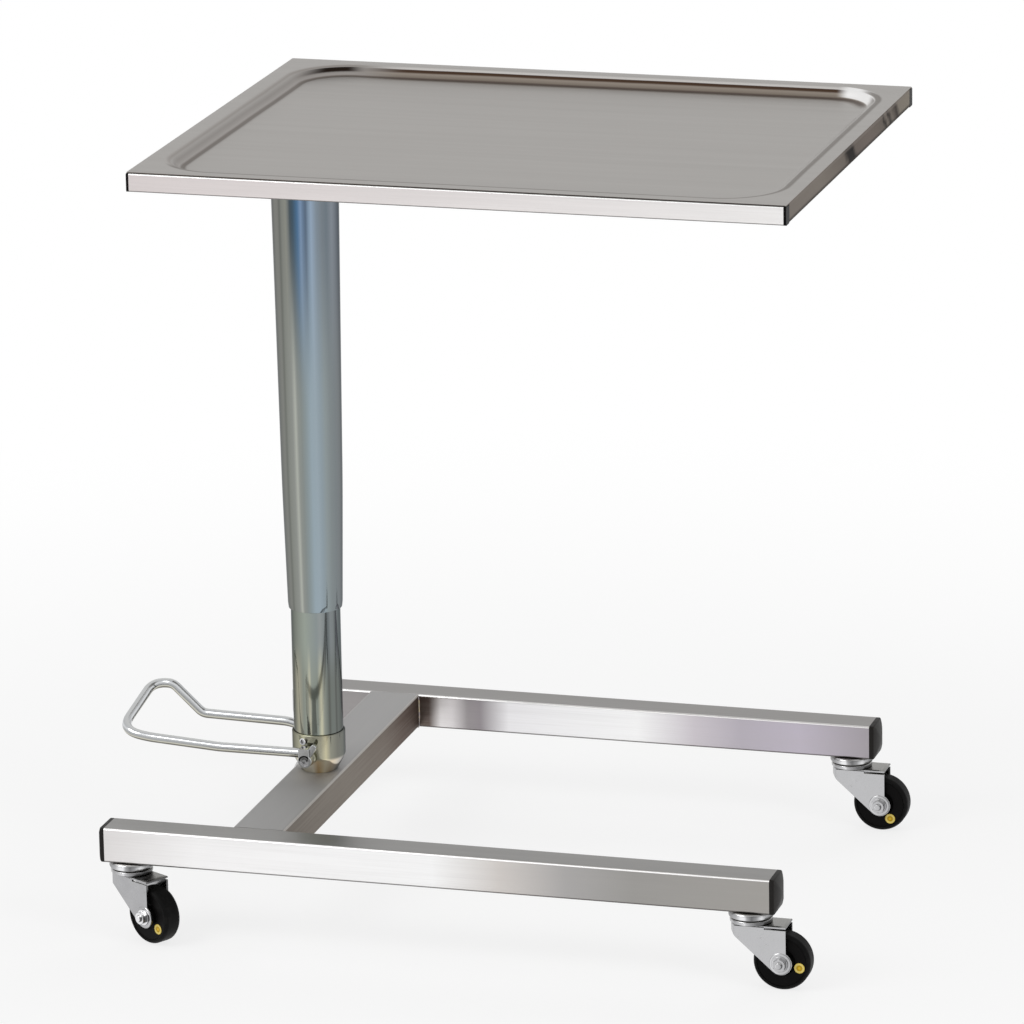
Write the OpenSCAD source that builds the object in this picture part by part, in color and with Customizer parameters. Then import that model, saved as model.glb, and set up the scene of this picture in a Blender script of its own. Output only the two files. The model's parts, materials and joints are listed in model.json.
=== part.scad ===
// Height-adjustable mayo table: a stainless tray on a foot-pumped telescopic column,
// which stands on a two-beam base with four swivel castors.
// Millimetres, +Z up, +X towards the beams' free ends, +Y towards the rear beam.
// The origin is on the floor, at the middle of the table's outline.

/* [Base frame] */
// Length of the front beam
front_beam_l = 760; // [640:10:900]
// Length of the rear beam
rear_beam_l = 692; // [600:4:760]
// How far the rear beam's left end lies inside the front beam's
rear_beam_in = 48; // [0:2:60]
// Depth of the base over both beams
base_d = 590; // [480:10:700]
// Side of the square beam tube
beam_s = 40; // [36:1:50]
// Width of the cross beam
cross_w = 60; // [50:1:80]
// Distance from the beams' left end to the cross beam's centre line
cross_x = 168; // [130:1:220]
// Wall of the base tubes
beam_wall = 1.5; // [1.2:0.1:2.5]
// Outer corner radius of the base tubes
beam_corner = 3; // [2.6:0.2:5]

/* [Beam end caps] */
// Thickness of an end cap at its corners
cap_edge = 4.5; // [1.5:0.5:6]
// Radius of the cap's domed face
cap_dome_r = 68; // [50:2:120]
// Length of the plug inside the beam
cap_plug_l = 11; // [8:1:12]
// Thickness of the plug's wall
cap_plug_wall = 2; // [1.5:0.5:2.5]

/* [Castors] */
// Height of a castor from the floor to the beam
castor_h = 88; // [84:1:110]
// Distance from a beam's end to the castor's swivel axis
castor_inset = 25; // [22:1:60]
// Distance from the swivel axis back to the axle
castor_trail = 36; // [30:1:42]
// Radius of the wheel over its tyre
wheel_r = 32; // [27:0.5:32]
// Width of the tyre
tyre_w = 22; // [16:1:26]
// Depth of the tyre's rubber
tyre_depth = 4.5; // [3:0.5:8]
// Radius of the tyre's shoulders
tyre_shoulder = 3; // [1:0.5:4]
// Radius of the hub's centre boss
hub_boss_r = 8; // [7:0.5:12]
// How far the wheel's face lies inside the tyre's side
hub_inset = 1; // [0:0.5:3]
// Radius of the axle bolt
axle_r = 4; // [3:0.5:5]
// Width over the flats of the axle's bolt head and nut
axle_nut_af = 13; // [10:1:14]
// Thickness of the axle's bolt head and nut
axle_nut_h = 5; // [4:0.5:7]
// Radius of the axle's washers
axle_washer_r = 9; // [7.5:0.5:11]
// Thickness of the axle's washers
axle_washer_t = 1.6; // [1:0.2:2.4]
// How far the bolt's end shows past its nut
axle_tip = 2; // [1:0.5:4]
// Thickness of the pressed fork's sheet
fork_t = 2.5; // [2:0.5:3]
// Radius of the fork's round end under the ball race
fork_head_r = 22; // [20:1:24]
// Distance from the swivel axis to the fork's rear edge
fork_back = 42; // [38:1:46]
// Radius of the fork's boss around the axle
fork_boss_r = 13; // [10:1:15]
// Gap between the tyre and the fork's sides
fork_play = 2.5; // [1.5:0.5:4]
// Depth of the fork's round nose below its top
fork_lip = 8; // [5:1:12]
// Height of the slot between the fork's sides and its rear flange
fork_slot_h = 1.6; // [0.8:0.2:2.4]
// Distance from the swivel axis to the slot's inner end
fork_slot_at = 18; // [14:1:26]
// Radius of the fixed upper ball race
race_upper_r = 25; // [24:0.5:30]
// Height of the fixed upper ball race
race_upper_h = 8; // [6:0.5:10]
// Radius of the turning lower ball race
race_lower_r = 23.5; // [22:0.5:28]
// Height of the turning lower ball race
race_lower_h = 5.7; // [4.5:0.1:8]
// Radius of the king pin and its threaded stem
stem_r = 5; // [4:0.5:6]
// Length of stem above the beam's lower wall
stem_l = 14; // [12:1:20]
// Radius of the king pin's head below the fork
stem_head_r = 9; // [8:0.5:11]
// Thickness of the king pin's head
stem_head_h = 3.5; // [2.5:0.5:4.5]
// Width over the flats of the stem's nut
stem_nut_af = 17; // [16:1:19]
// Thickness of the stem's nut
stem_nut_h = 8; // [6:0.5:10]
// Radius of the round marker plug on a wheel's face
marker_r = 6; // [3:0.2:6.4]
// Thickness of the marker plug
marker_t = 1.4; // [1:0.2:2]
// How far the marker stands out of the wheel's face
marker_proud = 0.4; // [0.2:0.1:0.8]
// Gap between the marker and the wheel body's rim
marker_edge = 1; // [0.5:0.5:2]

/* [Pump] */
// Distance from the front beam's front face to the column's axis
column_set = 262; // [240:1:320]
// Radius of the pump housing
housing_r = 30.2; // [29:0.2:34]
// Height of the pump housing
housing_h = 47; // [44:0.5:60]
// Height of the bevel round the housing's foot
housing_bevel_h = 18; // [4:1:20]
// Width of the bevel round the housing's foot
housing_bevel_w = 9.5; // [3:0.5:11]
// Height of the housing's spigot inside the lower tube
spigot_h = 14; // [8:1:25]
// Depth of the pocket that holds the cylinder
cylinder_pocket = 12; // [8:1:14]
// Radius of the foot bolt
foot_bolt_r = 6; // [5:0.5:8]
// Depth of the foot bolt's thread in the housing
foot_bolt_grip = 13; // [10:1:15]
// Width over the flats of the foot bolt's head
foot_bolt_af = 19; // [17:1:24]
// Thickness of the foot bolt's head
foot_bolt_head = 7.5; // [6:0.5:10]
// Radius of the washer under the cross beam
foot_washer_r = 18; // [14:1:26]
// Thickness of the washer under the cross beam
foot_washer_t = 3; // [2:0.5:5]
// Radius of the valve screw on the housing
valve_r = 4; // [3:0.5:4]
// How far the valve screw stands out
valve_l = 3; // [1:0.5:3]
// Height of the valve screw above the beams
valve_h = 40; // [38:0.5:41]
// Angle of the valve screw from the housing's front towards the pedal
valve_turn = 16; // [-10:1:20]

/* [Column] */
// Outer radius of the fixed lower tube
lower_r = 28.1; // [26:0.1:28.5]
// Wall of the lower tube
lower_wall = 2; // [1.5:0.1:3]
// Length of the lower tube that is still inside the cover tube when the table is up
guide_left = 70; // [40:5:90]
// Outer radius of the hydraulic cylinder
cylinder_r = 22; // [19:0.5:23]
// Wall of the hydraulic cylinder
cylinder_wall = 3; // [2:0.5:4]
// Height of the gland's flange on top of the lower tube
gland_flange = 6; // [4:1:10]
// Height of the gland inside the lower tube
gland_h = 30; // [20:1:45]
// Radius of the ram
ram_r = 12.5; // [10:0.5:15]
// Height of the piston
piston_h = 22; // [15:1:30]
// Gap under the piston when the ram is down
piston_rest = 30; // [10:5:50]
// Radius of the journal on top of the ram
journal_r = 10; // [8:0.5:11]
// Length of the journal on top of the ram
journal_l = 28; // [20:1:36]
// Outer radius of the thrust washer
thrust_r = 17; // [15:0.5:22]
// Thickness of the thrust washer
thrust_t = 2; // [1:0.5:4]
// Radius of the cover tube at its lower end
cover_foot_r = 31; // [30.4:0.1:31.4]
// Radius of the cover tube at the knee of its taper
cover_knee_r = 34.2; // [33:0.1:35]
// Radius of the cover tube at its top
cover_top_r = 38.5; // [36:0.1:42]
// Distance from the cover tube's lower end to the knee of its taper
cover_knee_h = 142; // [90:2:200]
// Height of the bevel round the cover tube's lower end
cover_bevel_h = 6; // [3:0.5:10]
// Wall of the cover tube
cover_wall = 1.5; // [1:0.1:1.6]
// Height of the guide bush inside the cover tube's lower end
bush_h = 24; // [15:1:40]
// How far the table rises
lift_travel = 350; // [200:10:380]
// Length of ram that shows above the gland when the table is down
ram_show = 80.2; // [40:0.2:90]

/* [Pedal] */
// Height of the pedal shaft above the beams
shaft_h = 22; // [22:0.5:25]
// Distance from the column's axis to the shaft, towards the pedal
shaft_out = 2; // [0:1:6]
// Radius of the pedal shaft
shaft_r = 5; // [4:0.5:5]
// Distance from the column's axis to each pedal arm
pedal_half_w = 43; // [39:1:50]
// Radius of the pedal's rod
rod_r = 5.5; // [3.5:0.25:5.5]
// Radius of the lever eye on the shaft
eye_r = 8; // [7:0.5:8]
// Width of the lever eye
eye_w = 12; // [10:1:13]
// Radius of the shaft's bearing boss on the housing
shaft_boss_r = 9; // [7:0.5:10]
// Length of the lever from the shaft to the rod's end
lever_l = 7.5; // [7:0.5:14]
// Height of the rod's end above the shaft
lever_rise = 8.5; // [8.5:0.5:12]
// Length of the short arm that stands up from the front lever
arm_l = 22; // [18:0.5:26]
// Angle at which the short arm leans back from upright
arm_lean = 32; // [20:1:40]
// Radius of the short arm's end
arm_r = 3.5; // [2.5:0.5:5]
// Thickness of the short arm
arm_t = 6; // [4:0.5:8]
// Width over the flats of the socket in the shaft's end
socket_af = 5; // [3:0.5:6]
// Depth of the socket in the shaft's end
socket_depth = 4; // [2:0.5:6]
// Distance from the shaft to the pedal's rear corner
pedal_l = 210; // [190:2:240]
// How much further out the front corner lies
front_out = 11; // [0:1:14]
// Length of the front arm's level part
front_flat = 103; // [60:1:130]
// Height of the front corner above the arm's inner end
front_rise = 11; // [10:1:40]
// Height of the rear corner above the arm's inner end
rear_rise = 43; // [35:1:60]
// Height of the rear arm's middle above its inner end
rear_lift = 10; // [9:1:16]
// Distance from the shaft to the rear arm's upward bend
rear_flat = 151; // [120:1:160]
// Distance from the pedal's front corner at which its bend begins
front_bend = 26; // [10:1:28]
// Distance from the pedal's rear corner at which its bend begins
rear_bend = 17; // [8:1:17]
// Distance from each bend in the pedal's arms at which it begins
arm_bend = 6; // [4:1:6]

/* [Top frame] */
// Height of the tray's rim above the floor when the table is down
top_h = 882; // [860:2:900]
// Length of the top over its end caps
top_l = 730; // [600:10:800]
// Depth of the top over its rails
top_d = 584; // [480:4:640]
// Distance from the column's axis to the top's left edge
top_left = 109; // [100:1:200]
// Distance from the column's axis to the top's front edge
top_front = 283; // [260:1:330]
// Depth of a rail
rail_d = 14; // [12:1:15]
// Height of a rail
rail_h = 20.2; // [18:0.1:24]
// Wall of a rail
rail_wall = 1.2; // [1:0.1:1.4]
// Outer corner radius of a rail
rail_corner = 1.6; // [1.5:0.1:2.4]
// Thickness of a rail's end cap
rail_cap_t = 3; // [2:0.5:5]
// Length of a rail cap's plug
rail_plug_l = 10; // [6:1:20]
// Width of a cross bar under the tray
bar_w = 40; // [30:1:60]
// Thickness of a cross bar
bar_t = 8; // [6:0.5:8]
// Distance from the column's axis to each of the two near cross bars
bar_near = 55; // [50:1:75]
// Distance from the top's right edge to the far cross bar
bar_far = 160; // [100:5:240]
// Side of the head plate
head_s = 160; // [150:5:220]
// Thickness of the head plate
head_t = 6; // [4:0.5:10]
// Corner radius of the head plate
head_corner = 12; // [6:1:20]
// Outer radius of the socket around the ram's journal
head_socket_r = 19; // [16:0.5:26]
// Radius of the head bolts
head_bolt_r = 4; // [3:0.5:5]
// Width over the flats of a head bolt
head_bolt_af = 13; // [10:1:16]
// Thickness of a head bolt's head
head_bolt_head = 5.3; // [4:0.1:7]
// Distance from the column's axis to the bolts along the bars
head_bolt_y = 62; // [50:1:66]

/* [Tray] */
// Thickness of the tray's sheet
tray_t = 1; // [0.8:0.1:1.2]
// How far the tray's rim is set back from the rails' faces
tray_set = 1.5; // [0.5:0.5:3]
// Width of the flat rim round the recess
rim_w = 24; // [15.5:0.5:30]
// Depth of the recess
recess_h = 10; // [8:0.5:12]
// Width of the recess's sloping wall
recess_slope = 10; // [3:0.5:12]
// Corner radius of the recess
recess_r = 64; // [30:1:80]
// Height of the tray's side flanges
flange_h = 20.5; // [12:0.5:21]

/* [Clearances] */
// Radial clearance of a running fit
run_gap = 0.05; // [0.02:0.01:0.08]
// Gap between faces that move past each other
face_gap = 0.3; // [0.2:0.1:0.5]
// Radial clearance of a bolt in its hole
hole_gap = 0.3; // [0.2:0.1:0.5]
// Gap round a plug in its tube
plug_gap = 0.1; // [0.05:0.05:0.3]

/* [Hidden] */
$fn = 64;
// Each castor's side of the base, its beam, the heading of its fork and how far its marker is turned down
FRONT_LEFT = [-1, -1, -30, 35];
FRONT_RIGHT = [1, -1, 0, 15];
REAR_LEFT = [-1, 1, -90, 100];
REAR_RIGHT = [1, 1, 0, 56];
CASTORS = [FRONT_LEFT, FRONT_RIGHT, REAR_LEFT, REAR_RIGHT];
over = 1;

// Base frame
x_left = -front_beam_l / 2;
rear_left = x_left + rear_beam_in;
beam_y = base_d / 2 - beam_s / 2;
beam_top = castor_h + beam_s;
cross_l = base_d - 2 * beam_s;
tube_in = beam_s - 2 * beam_wall;
cap_reach = (beam_s / 2 - beam_corner) * sqrt(2) + beam_corner;
cap_l = cap_edge + cap_dome_r - sqrt(pow(cap_dome_r, 2) - pow(cap_reach, 2));

// Castors
fork_top = castor_h - race_upper_h - face_gap - race_lower_h;
fork_gap = tyre_w / 2 + fork_play;
fork_out = fork_gap + fork_t;
hub_r = wheel_r - tyre_depth;
hub_half = tyre_w / 2 - hub_inset;
marker_at = hub_r - marker_edge - marker_r;
hub_boss_half = fork_gap - face_gap;
fork_tail = castor_trail + fork_boss_r;
boss_edge = fork_boss_r * sqrt(1 / 2);
nut_end = fork_out + axle_washer_t + axle_nut_h;
tyre_side = tyre_w / 2 - tyre_shoulder;

// Column
col_x = x_left + cross_x;
col_y = -base_d / 2 + column_set;
shaft_z = beam_top + shaft_h;
valve_root = cylinder_r + valve_r / 2;
housing_top = beam_top + housing_h;
lower_in = lower_r - lower_wall;
cylinder_z = housing_top - cylinder_pocket;
bore_r = cylinder_r - cylinder_wall;
piston_z = cylinder_z + piston_rest;

// Top
rail_top = top_h - tray_t - face_gap;
rail_z = rail_top - rail_h;
head_z = rail_z - head_t;
top_x = col_x - top_left;
top_y = col_y - top_front;
tray_cx = top_x + top_l / 2;
tray_cy = top_y + top_d / 2;
rail_l = top_l - 2 * rail_cap_t;
journal_z = head_z - face_gap - journal_l;
socket_z = journal_z + thrust_t + face_gap;
far_bar_x = top_x + top_l - bar_far;

// Tubes under the top, from the head downwards
lower_z = journal_z - gland_flange - ram_show;
gland_z = lower_z - gland_h;
cover_foot_z = lower_z - guide_left - lift_travel;
cover_knee_z = cover_foot_z + cover_knee_h;

// The pedal rod's corners from the front lever to the rear one, seen from the middle of the shaft,
// each with the distance at which its bend begins
FRONT = -pedal_half_w;
REAR = pedal_half_w;
corner_step = 24;
PEDAL = [
    [[-lever_l, FRONT, lever_rise], 0],
    [[-front_flat, FRONT, lever_rise], arm_bend],
    [[-pedal_l + corner_step, FRONT, lever_rise + front_rise / 2], arm_bend],
    [[-pedal_l - front_out, FRONT, lever_rise + front_rise], front_bend],
    [[-pedal_l, REAR, lever_rise + rear_rise], rear_bend],
    [[-pedal_l + corner_step, REAR, lever_rise + rear_rise], arm_bend],
    [[-rear_flat, REAR, lever_rise + rear_lift], arm_bend],
    [[-corner_step * 2, REAR, lever_rise + rear_lift * 3 / 4], arm_bend],
    [[-lever_l - corner_step / 2, REAR, lever_rise], arm_bend],
    [[-lever_l, REAR, lever_rise], 0]
];

// Centre line of the rod: every corner becomes a curve in bend_steps steps
bend_steps = 4;
function toward(i, k, d) = PEDAL[i][0] + (PEDAL[k][0] - PEDAL[i][0]) * d / norm(PEDAL[k][0] - PEDAL[i][0]);
function curve(a, b, c, t) = a * pow(1 - t, 2) + b * 2 * t * (1 - t) + c * pow(t, 2);
last_corner = len(PEDAL) - 1;
LINE = [
    PEDAL[0][0],
    for (i = [1:last_corner - 1], k = [0:bend_steps])
        curve(toward(i, i - 1, PEDAL[i][1]), PEDAL[i][0], toward(i, i + 1, PEDAL[i][1]), k / bend_steps),
    PEDAL[last_corner][0]
];

// Skin of the rod: a ring of points square to the centre line at each of its points, with level end faces
rod_sides = 12;
last_ring = len(LINE) - 1;
function unit(v) = v / norm(v);
function way(i) = i == 0 ? [-1, 0, 0] : i == last_ring ? [1, 0, 0] : unit(LINE[i + 1] - LINE[i - 1]);
function up(w) = unit([-w[2] * w[0], -w[2] * w[1], pow(w[0], 2) + pow(w[1], 2)]);
SKIN = [for (i = [0:last_ring]) let (w = way(i), u = up(w), v = cross(u, w)) for (k = [0:rod_sides - 1])
    LINE[i] + rod_r * (cos(360 * k / rod_sides) * v + sin(360 * k / rod_sides) * u)];

// Outline of the whole table on the floor, which sets the origin
swing = FRONT_LEFT[2];
nut_corner = axle_nut_af / 2 / cos(30);
tyre_y = tyre_side * cos(swing) - (wheel_r - tyre_shoulder) * sin(swing) + tyre_shoulder;
nut_y = nut_end * cos(swing) - nut_corner * sin(swing);
outline_x0 = col_x - shaft_out + min([for (p = SKIN) p[0]]);
outline_x1 = front_beam_l / 2 - castor_inset + castor_trail + wheel_r;
outline_y0 = min(top_y, -beam_y + castor_trail * sin(swing) - max(tyre_y, nut_y));
outline_y1 = max(top_y + top_d, beam_y + race_upper_r);
origin_x = (outline_x0 + outline_x1) / 2;
origin_y = (outline_y0 + outline_y1) / 2;

// Colours as the photograph shows them
STEEL = [0.76, 0.75, 0.73];
BRIGHT = [0.82, 0.84, 0.86];
CHROME = [0.66, 0.70, 0.71];
BLACK = [0.10, 0.10, 0.10];
RUBBER = [0.13, 0.13, 0.13];
YELLOW = [0.86, 0.74, 0.20];
BRASS = [0.72, 0.60, 0.36];

// Moves a piece from the base frame's centre to the table's own origin
module placed() {
    translate([-origin_x, -origin_y, 0]) children();
}

// Moves a piece to the column's axis
module on_column() {
    placed() translate([col_x, col_y, 0]) children();
}

// Moves a piece to a castor's swivel axis, turned to its heading
module on_castor(c) {
    start = c[1] < 0 ? x_left : rear_left;
    end = c[1] < 0 ? x_left + front_beam_l : rear_left + rear_beam_l;
    x = c[0] < 0 ? start + castor_inset : end - castor_inset;
    placed() translate([x, c[1] * beam_y, 0]) rotate([0, 0, c[2]]) children();
}

// Moves a piece to a castor's axle
module on_axle(c) {
    on_castor(c) translate([castor_trail, 0, wheel_r]) children();
}

// Rectangle with round corners, centred
module round_rect(w, h, r) {
    square([w - 2 * r, h], center = true);
    square([w, h - 2 * r], center = true);
    for (x = [-1, 1], y = [-1, 1]) translate([x * (w / 2 - r), y * (h / 2 - r)]) circle(r = r, $fn = 32);
}

// Rectangular tube along X from the origin, w wide and h high
module box_tube(l, w, h, wall, r) {
    rotate([90, 0, 90]) linear_extrude(l) difference() {
        round_rect(w, h, r);
        round_rect(w - 2 * wall, h - 2 * wall, r - wall);
    }
}

// Hexagon prism from its flat-to-flat width
module hex(af, h) {
    cylinder(h = h, r = af / 2 / cos(30), $fn = 6);
}

// Beam tube with the holes for the castor stems in its lower wall
module beam(x_start, l, y) {
    placed() difference() {
        translate([x_start, y, castor_h + beam_s / 2]) box_tube(l, beam_s, beam_s, beam_wall, beam_corner);
        for (x = [x_start + castor_inset, x_start + l - castor_inset])
            translate([x, y, castor_h - over]) cylinder(h = beam_wall + 2 * over, r = stem_r + hole_gap);
    }
}

module front_beam() {
    color(STEEL) beam(x_left, front_beam_l, -beam_y);
}

module rear_beam() {
    color(STEEL) beam(rear_left, rear_beam_l, beam_y);
}

module cross_beam() {
    color(STEEL) placed() difference() {
        translate([col_x, -cross_l / 2, castor_h + beam_s / 2]) rotate([0, 0, 90])
            box_tube(cross_l, cross_w, beam_s, beam_wall, beam_corner);
        translate([col_x, col_y, castor_h - over])
            cylinder(h = beam_s + 2 * over, r = foot_bolt_r + hole_gap);
    }
}

// Plastic cap with a domed face towards -X and a hollow plug towards +X
module end_cap() {
    intersection() {
        translate([-cap_l, 0, 0]) rotate([90, 0, 90]) linear_extrude(cap_l)
            round_rect(beam_s, beam_s, beam_corner);
        translate([cap_dome_r - cap_l, 0, 0]) sphere(r = cap_dome_r, $fn = 96);
    }
    box_tube(cap_plug_l, tube_in - 2 * plug_gap, tube_in - 2 * plug_gap, cap_plug_wall, beam_corner);
}

module beam_end_caps() {
    z = castor_h + beam_s / 2;
    color(BLACK) placed() {
        translate([x_left, -beam_y, z]) end_cap();
        translate([rear_left, beam_y, z]) end_cap();
        translate([x_left + front_beam_l, -beam_y, z]) mirror([1, 0, 0]) end_cap();
        translate([rear_left + rear_beam_l, beam_y, z]) mirror([1, 0, 0]) end_cap();
    }
}

// Flat ring with a full round rim, the shape of a pressed ball race
module race(bore, r, h) {
    rotate_extrude() difference() {
        union() {
            square([r - h / 2, h]);
            translate([r - h / 2, h / 2]) circle(r = h / 2, $fn = 32);
        }
        translate([-over, -over]) square([bore + over, h + 2 * over]);
    }
}

module castor_heads() {
    color(BRIGHT) for (c = CASTORS)
        on_castor(c) translate([0, 0, castor_h - race_upper_h]) race(stem_r, race_upper_r, race_upper_h);
}

// King pin with its head under the fork, its threaded stem in the beam, and the stem's nut
module castor_stems() {
    pin_z = fork_top - fork_t - face_gap;
    nut_z = castor_h + beam_wall;
    color(BRIGHT) for (c = CASTORS) on_castor(c) {
        translate([0, 0, pin_z - stem_head_h]) cylinder(h = stem_head_h, r = stem_head_r);
        translate([0, 0, pin_z - over]) cylinder(h = nut_z + stem_l - pin_z + over, r = stem_r);
        translate([0, 0, nut_z]) hex(stem_nut_af, stem_nut_h);
    }
}

// Side view of the fork: X runs back from the swivel axis, Y is height above the floor
module fork_side() {
    difference() {
        polygon([
            [-fork_head_r, fork_top], [-fork_head_r, fork_top - fork_lip],
            [castor_trail - boss_edge, wheel_r - boss_edge], [castor_trail, wheel_r],
            [fork_back, wheel_r + boss_edge], [fork_back, fork_top]
        ]);
        translate([fork_slot_at, fork_top - fork_t - fork_slot_h]) square([fork_back, fork_slot_h]);
    }
    translate([castor_trail, wheel_r]) circle(r = fork_boss_r);
}

// Plan of the fork between its sides: a round nose and straight flanks half apart, open to the rear
module fork_plan(r, half, tail) {
    intersection() {
        union() {
            circle(r = r);
            translate([0, -half]) square([tail, 2 * half]);
        }
        translate([-r, -half]) square([r + tail, 2 * half]);
    }
}

// Pressed steel fork with the turning half of the ball race
module fork(c) {
    color(BRIGHT) on_castor(c) difference() {
        union() {
            intersection() {
                linear_extrude(fork_top) difference() {
                    fork_plan(fork_head_r, fork_out, fork_tail);
                    fork_plan(fork_head_r - fork_t, fork_gap, fork_tail + over);
                }
                translate([0, fork_out + over, 0]) rotate([90, 0, 0])
                    linear_extrude(2 * fork_out + 2 * over) fork_side();
            }
            translate([0, 0, fork_top - fork_t]) linear_extrude(fork_t) {
                circle(r = fork_head_r);
                translate([0, -fork_out]) square([fork_back, 2 * fork_out]);
            }
            translate([0, 0, fork_top]) race(stem_r + run_gap, race_lower_r, race_lower_h);
        }
        translate([0, 0, fork_top - fork_t - over]) cylinder(h = fork_t + 2 * over, r = stem_r + run_gap);
        translate([castor_trail, fork_out + over, wheel_r]) rotate([90, 0, 0])
            cylinder(h = 2 * fork_out + 2 * over, r = axle_r);
    }
}

// Axle bolt through the fork, with a washer under its head and under its nut
module axle(c) {
    color(BRIGHT) on_axle(c) rotate([90, 0, 0]) {
        translate([0, 0, -fork_out]) cylinder(h = fork_out + nut_end + axle_tip, r = axle_r);
        for (side = [0, 1]) mirror([0, 0, side]) translate([0, 0, fork_out]) {
            cylinder(h = axle_washer_t, r = axle_washer_r);
            translate([0, 0, axle_washer_t]) hex(axle_nut_af, axle_nut_h);
        }
    }
}

// Place of the marker on the wheel's front face
module at_marker(c) {
    on_axle(c) rotate([0, c[3], 0]) translate([marker_at, -hub_half, 0]) rotate([90, 0, 0]) children();
}

// Wheel body with the bore for the axle and the pocket for the marker
module hub(c) {
    color(BLACK) difference() {
        on_axle(c) rotate([90, 0, 0]) difference() {
            union() {
                cylinder(h = 2 * hub_half, r = hub_r, center = true);
                cylinder(h = 2 * hub_boss_half, r = hub_boss_r, center = true);
            }
            cylinder(h = 2 * hub_boss_half + 2 * over, r = axle_r + run_gap, center = true);
        }
        at_marker(c) translate([0, 0, marker_proud - marker_t]) cylinder(h = marker_t, r = marker_r);
    }
}

module tyre(c) {
    color(RUBBER) on_axle(c) rotate([90, 0, 0]) rotate_extrude() intersection() {
        translate([hub_r, -tyre_w / 2]) square([tyre_depth, tyre_w]);
        union() {
            translate([hub_r, -tyre_w / 2]) square([tyre_depth - tyre_shoulder, tyre_w]);
            translate([hub_r, -tyre_side]) square([tyre_depth, 2 * tyre_side]);
            for (y = [-tyre_side, tyre_side])
                translate([wheel_r - tyre_shoulder, y]) circle(r = tyre_shoulder, $fn = 32);
        }
    }
}

module marker(c) {
    color(YELLOW) at_marker(c) translate([0, 0, marker_proud - marker_t])
        cylinder(h = marker_t, r = marker_r);
}

// Moves a piece from the column's foot to the root of the valve screw, pointing outwards
module at_valve() {
    rotate([0, 0, -valve_turn]) translate([0, -valve_root, beam_top + valve_h]) rotate([90, 0, 0]) children();
}

// Pump housing: a bevelled foot, the shaft's bearing bosses, the bolt's thread and the cylinder's pocket
module pump_housing() {
    boss_l = pedal_half_w - eye_w / 2 - face_gap;
    color(CHROME) on_column() difference() {
        union() {
            translate([0, 0, beam_top])
                cylinder(h = housing_bevel_h, r1 = housing_r - housing_bevel_w, r2 = housing_r);
            translate([0, 0, beam_top + housing_bevel_h])
                cylinder(h = housing_h - housing_bevel_h, r = housing_r);
            translate([0, 0, housing_top - over]) cylinder(h = spigot_h + over, r = lower_in);
            translate([-shaft_out, boss_l, shaft_z]) rotate([90, 0, 0])
                cylinder(h = 2 * boss_l, r = shaft_boss_r);
        }
        translate([-shaft_out, boss_l + over, shaft_z]) rotate([90, 0, 0])
            cylinder(h = 2 * boss_l + 2 * over, r = shaft_r + run_gap);
        translate([0, 0, beam_top - over]) cylinder(h = foot_bolt_grip + over, r = foot_bolt_r);
        translate([0, 0, cylinder_z]) cylinder(h = cylinder_pocket + spigot_h + over, r = cylinder_r);
        at_valve() cylinder(h = housing_r, r = valve_r);
    }
}

// Bolt that holds the housing down, with a broad washer under the cross beam
module foot_bolt() {
    color(BRIGHT) on_column() {
        translate([0, 0, castor_h - foot_washer_t])
            cylinder(h = beam_s + foot_washer_t + foot_bolt_grip, r = foot_bolt_r);
        translate([0, 0, castor_h - foot_washer_t]) cylinder(h = foot_washer_t, r = foot_washer_r);
        translate([0, 0, castor_h - foot_washer_t - foot_bolt_head]) hex(foot_bolt_af, foot_bolt_head);
    }
}

module valve_screw() {
    l = housing_r + valve_l - valve_root;
    color(BRIGHT) on_column() at_valve() difference() {
        cylinder(h = l, r = valve_r);
        translate([0, 0, l - socket_depth / 2]) hex(socket_af, socket_depth);
    }
}

module lower_tube() {
    color(CHROME) on_column() translate([0, 0, housing_top]) difference() {
        cylinder(h = lower_z - housing_top, r = lower_r);
        translate([0, 0, -over]) cylinder(h = lower_z - housing_top + 2 * over, r = lower_in);
    }
}

module cylinder_tube() {
    h = gland_z - cylinder_z;
    color(BRIGHT) on_column() translate([0, 0, cylinder_z]) difference() {
        cylinder(h = h, r = cylinder_r);
        translate([0, 0, -over]) cylinder(h = h + 2 * over, r = bore_r);
    }
}

// Guide for the ram, seated on the cylinder and closing the lower tube
module gland() {
    color(BRASS) on_column() difference() {
        union() {
            translate([0, 0, gland_z]) cylinder(h = gland_h, r = lower_in);
            translate([0, 0, lower_z]) cylinder(h = gland_flange, r = lower_r);
        }
        translate([0, 0, gland_z - over])
            cylinder(h = gland_h + gland_flange + 2 * over, r = ram_r + run_gap);
    }
}

// Polished ram with its piston below and its journal on top
module ram() {
    color(BRIGHT) on_column() {
        translate([0, 0, piston_z]) cylinder(h = piston_h, r = bore_r - run_gap);
        translate([0, 0, piston_z]) cylinder(h = journal_z - piston_z, r = ram_r);
        translate([0, 0, journal_z - over]) cylinder(h = journal_l + over, r = journal_r);
    }
}

module thrust_washer() {
    color(BRASS) on_column() translate([0, 0, journal_z]) difference() {
        cylinder(h = thrust_t, r = thrust_r);
        translate([0, 0, -over]) cylinder(h = thrust_t + 2 * over, r = journal_r);
    }
}

// Tapered cover tube with a steeper taper below its knee and a bevelled lower end
module cover_tube() {
    bush_r = cover_foot_r - cover_wall;
    bush_z = cover_foot_z + bush_h;
    color(CHROME) on_column() rotate_extrude($fn = 96) polygon([
        [bush_r, cover_foot_z], [bush_r, bush_z], [cover_knee_r - cover_wall, cover_knee_z],
        [cover_top_r - cover_wall, head_z], [cover_top_r, head_z], [cover_knee_r, cover_knee_z],
        [cover_foot_r, cover_foot_z + cover_bevel_h], [bush_r + cover_wall / 2, cover_foot_z]
    ]);
}

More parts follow.
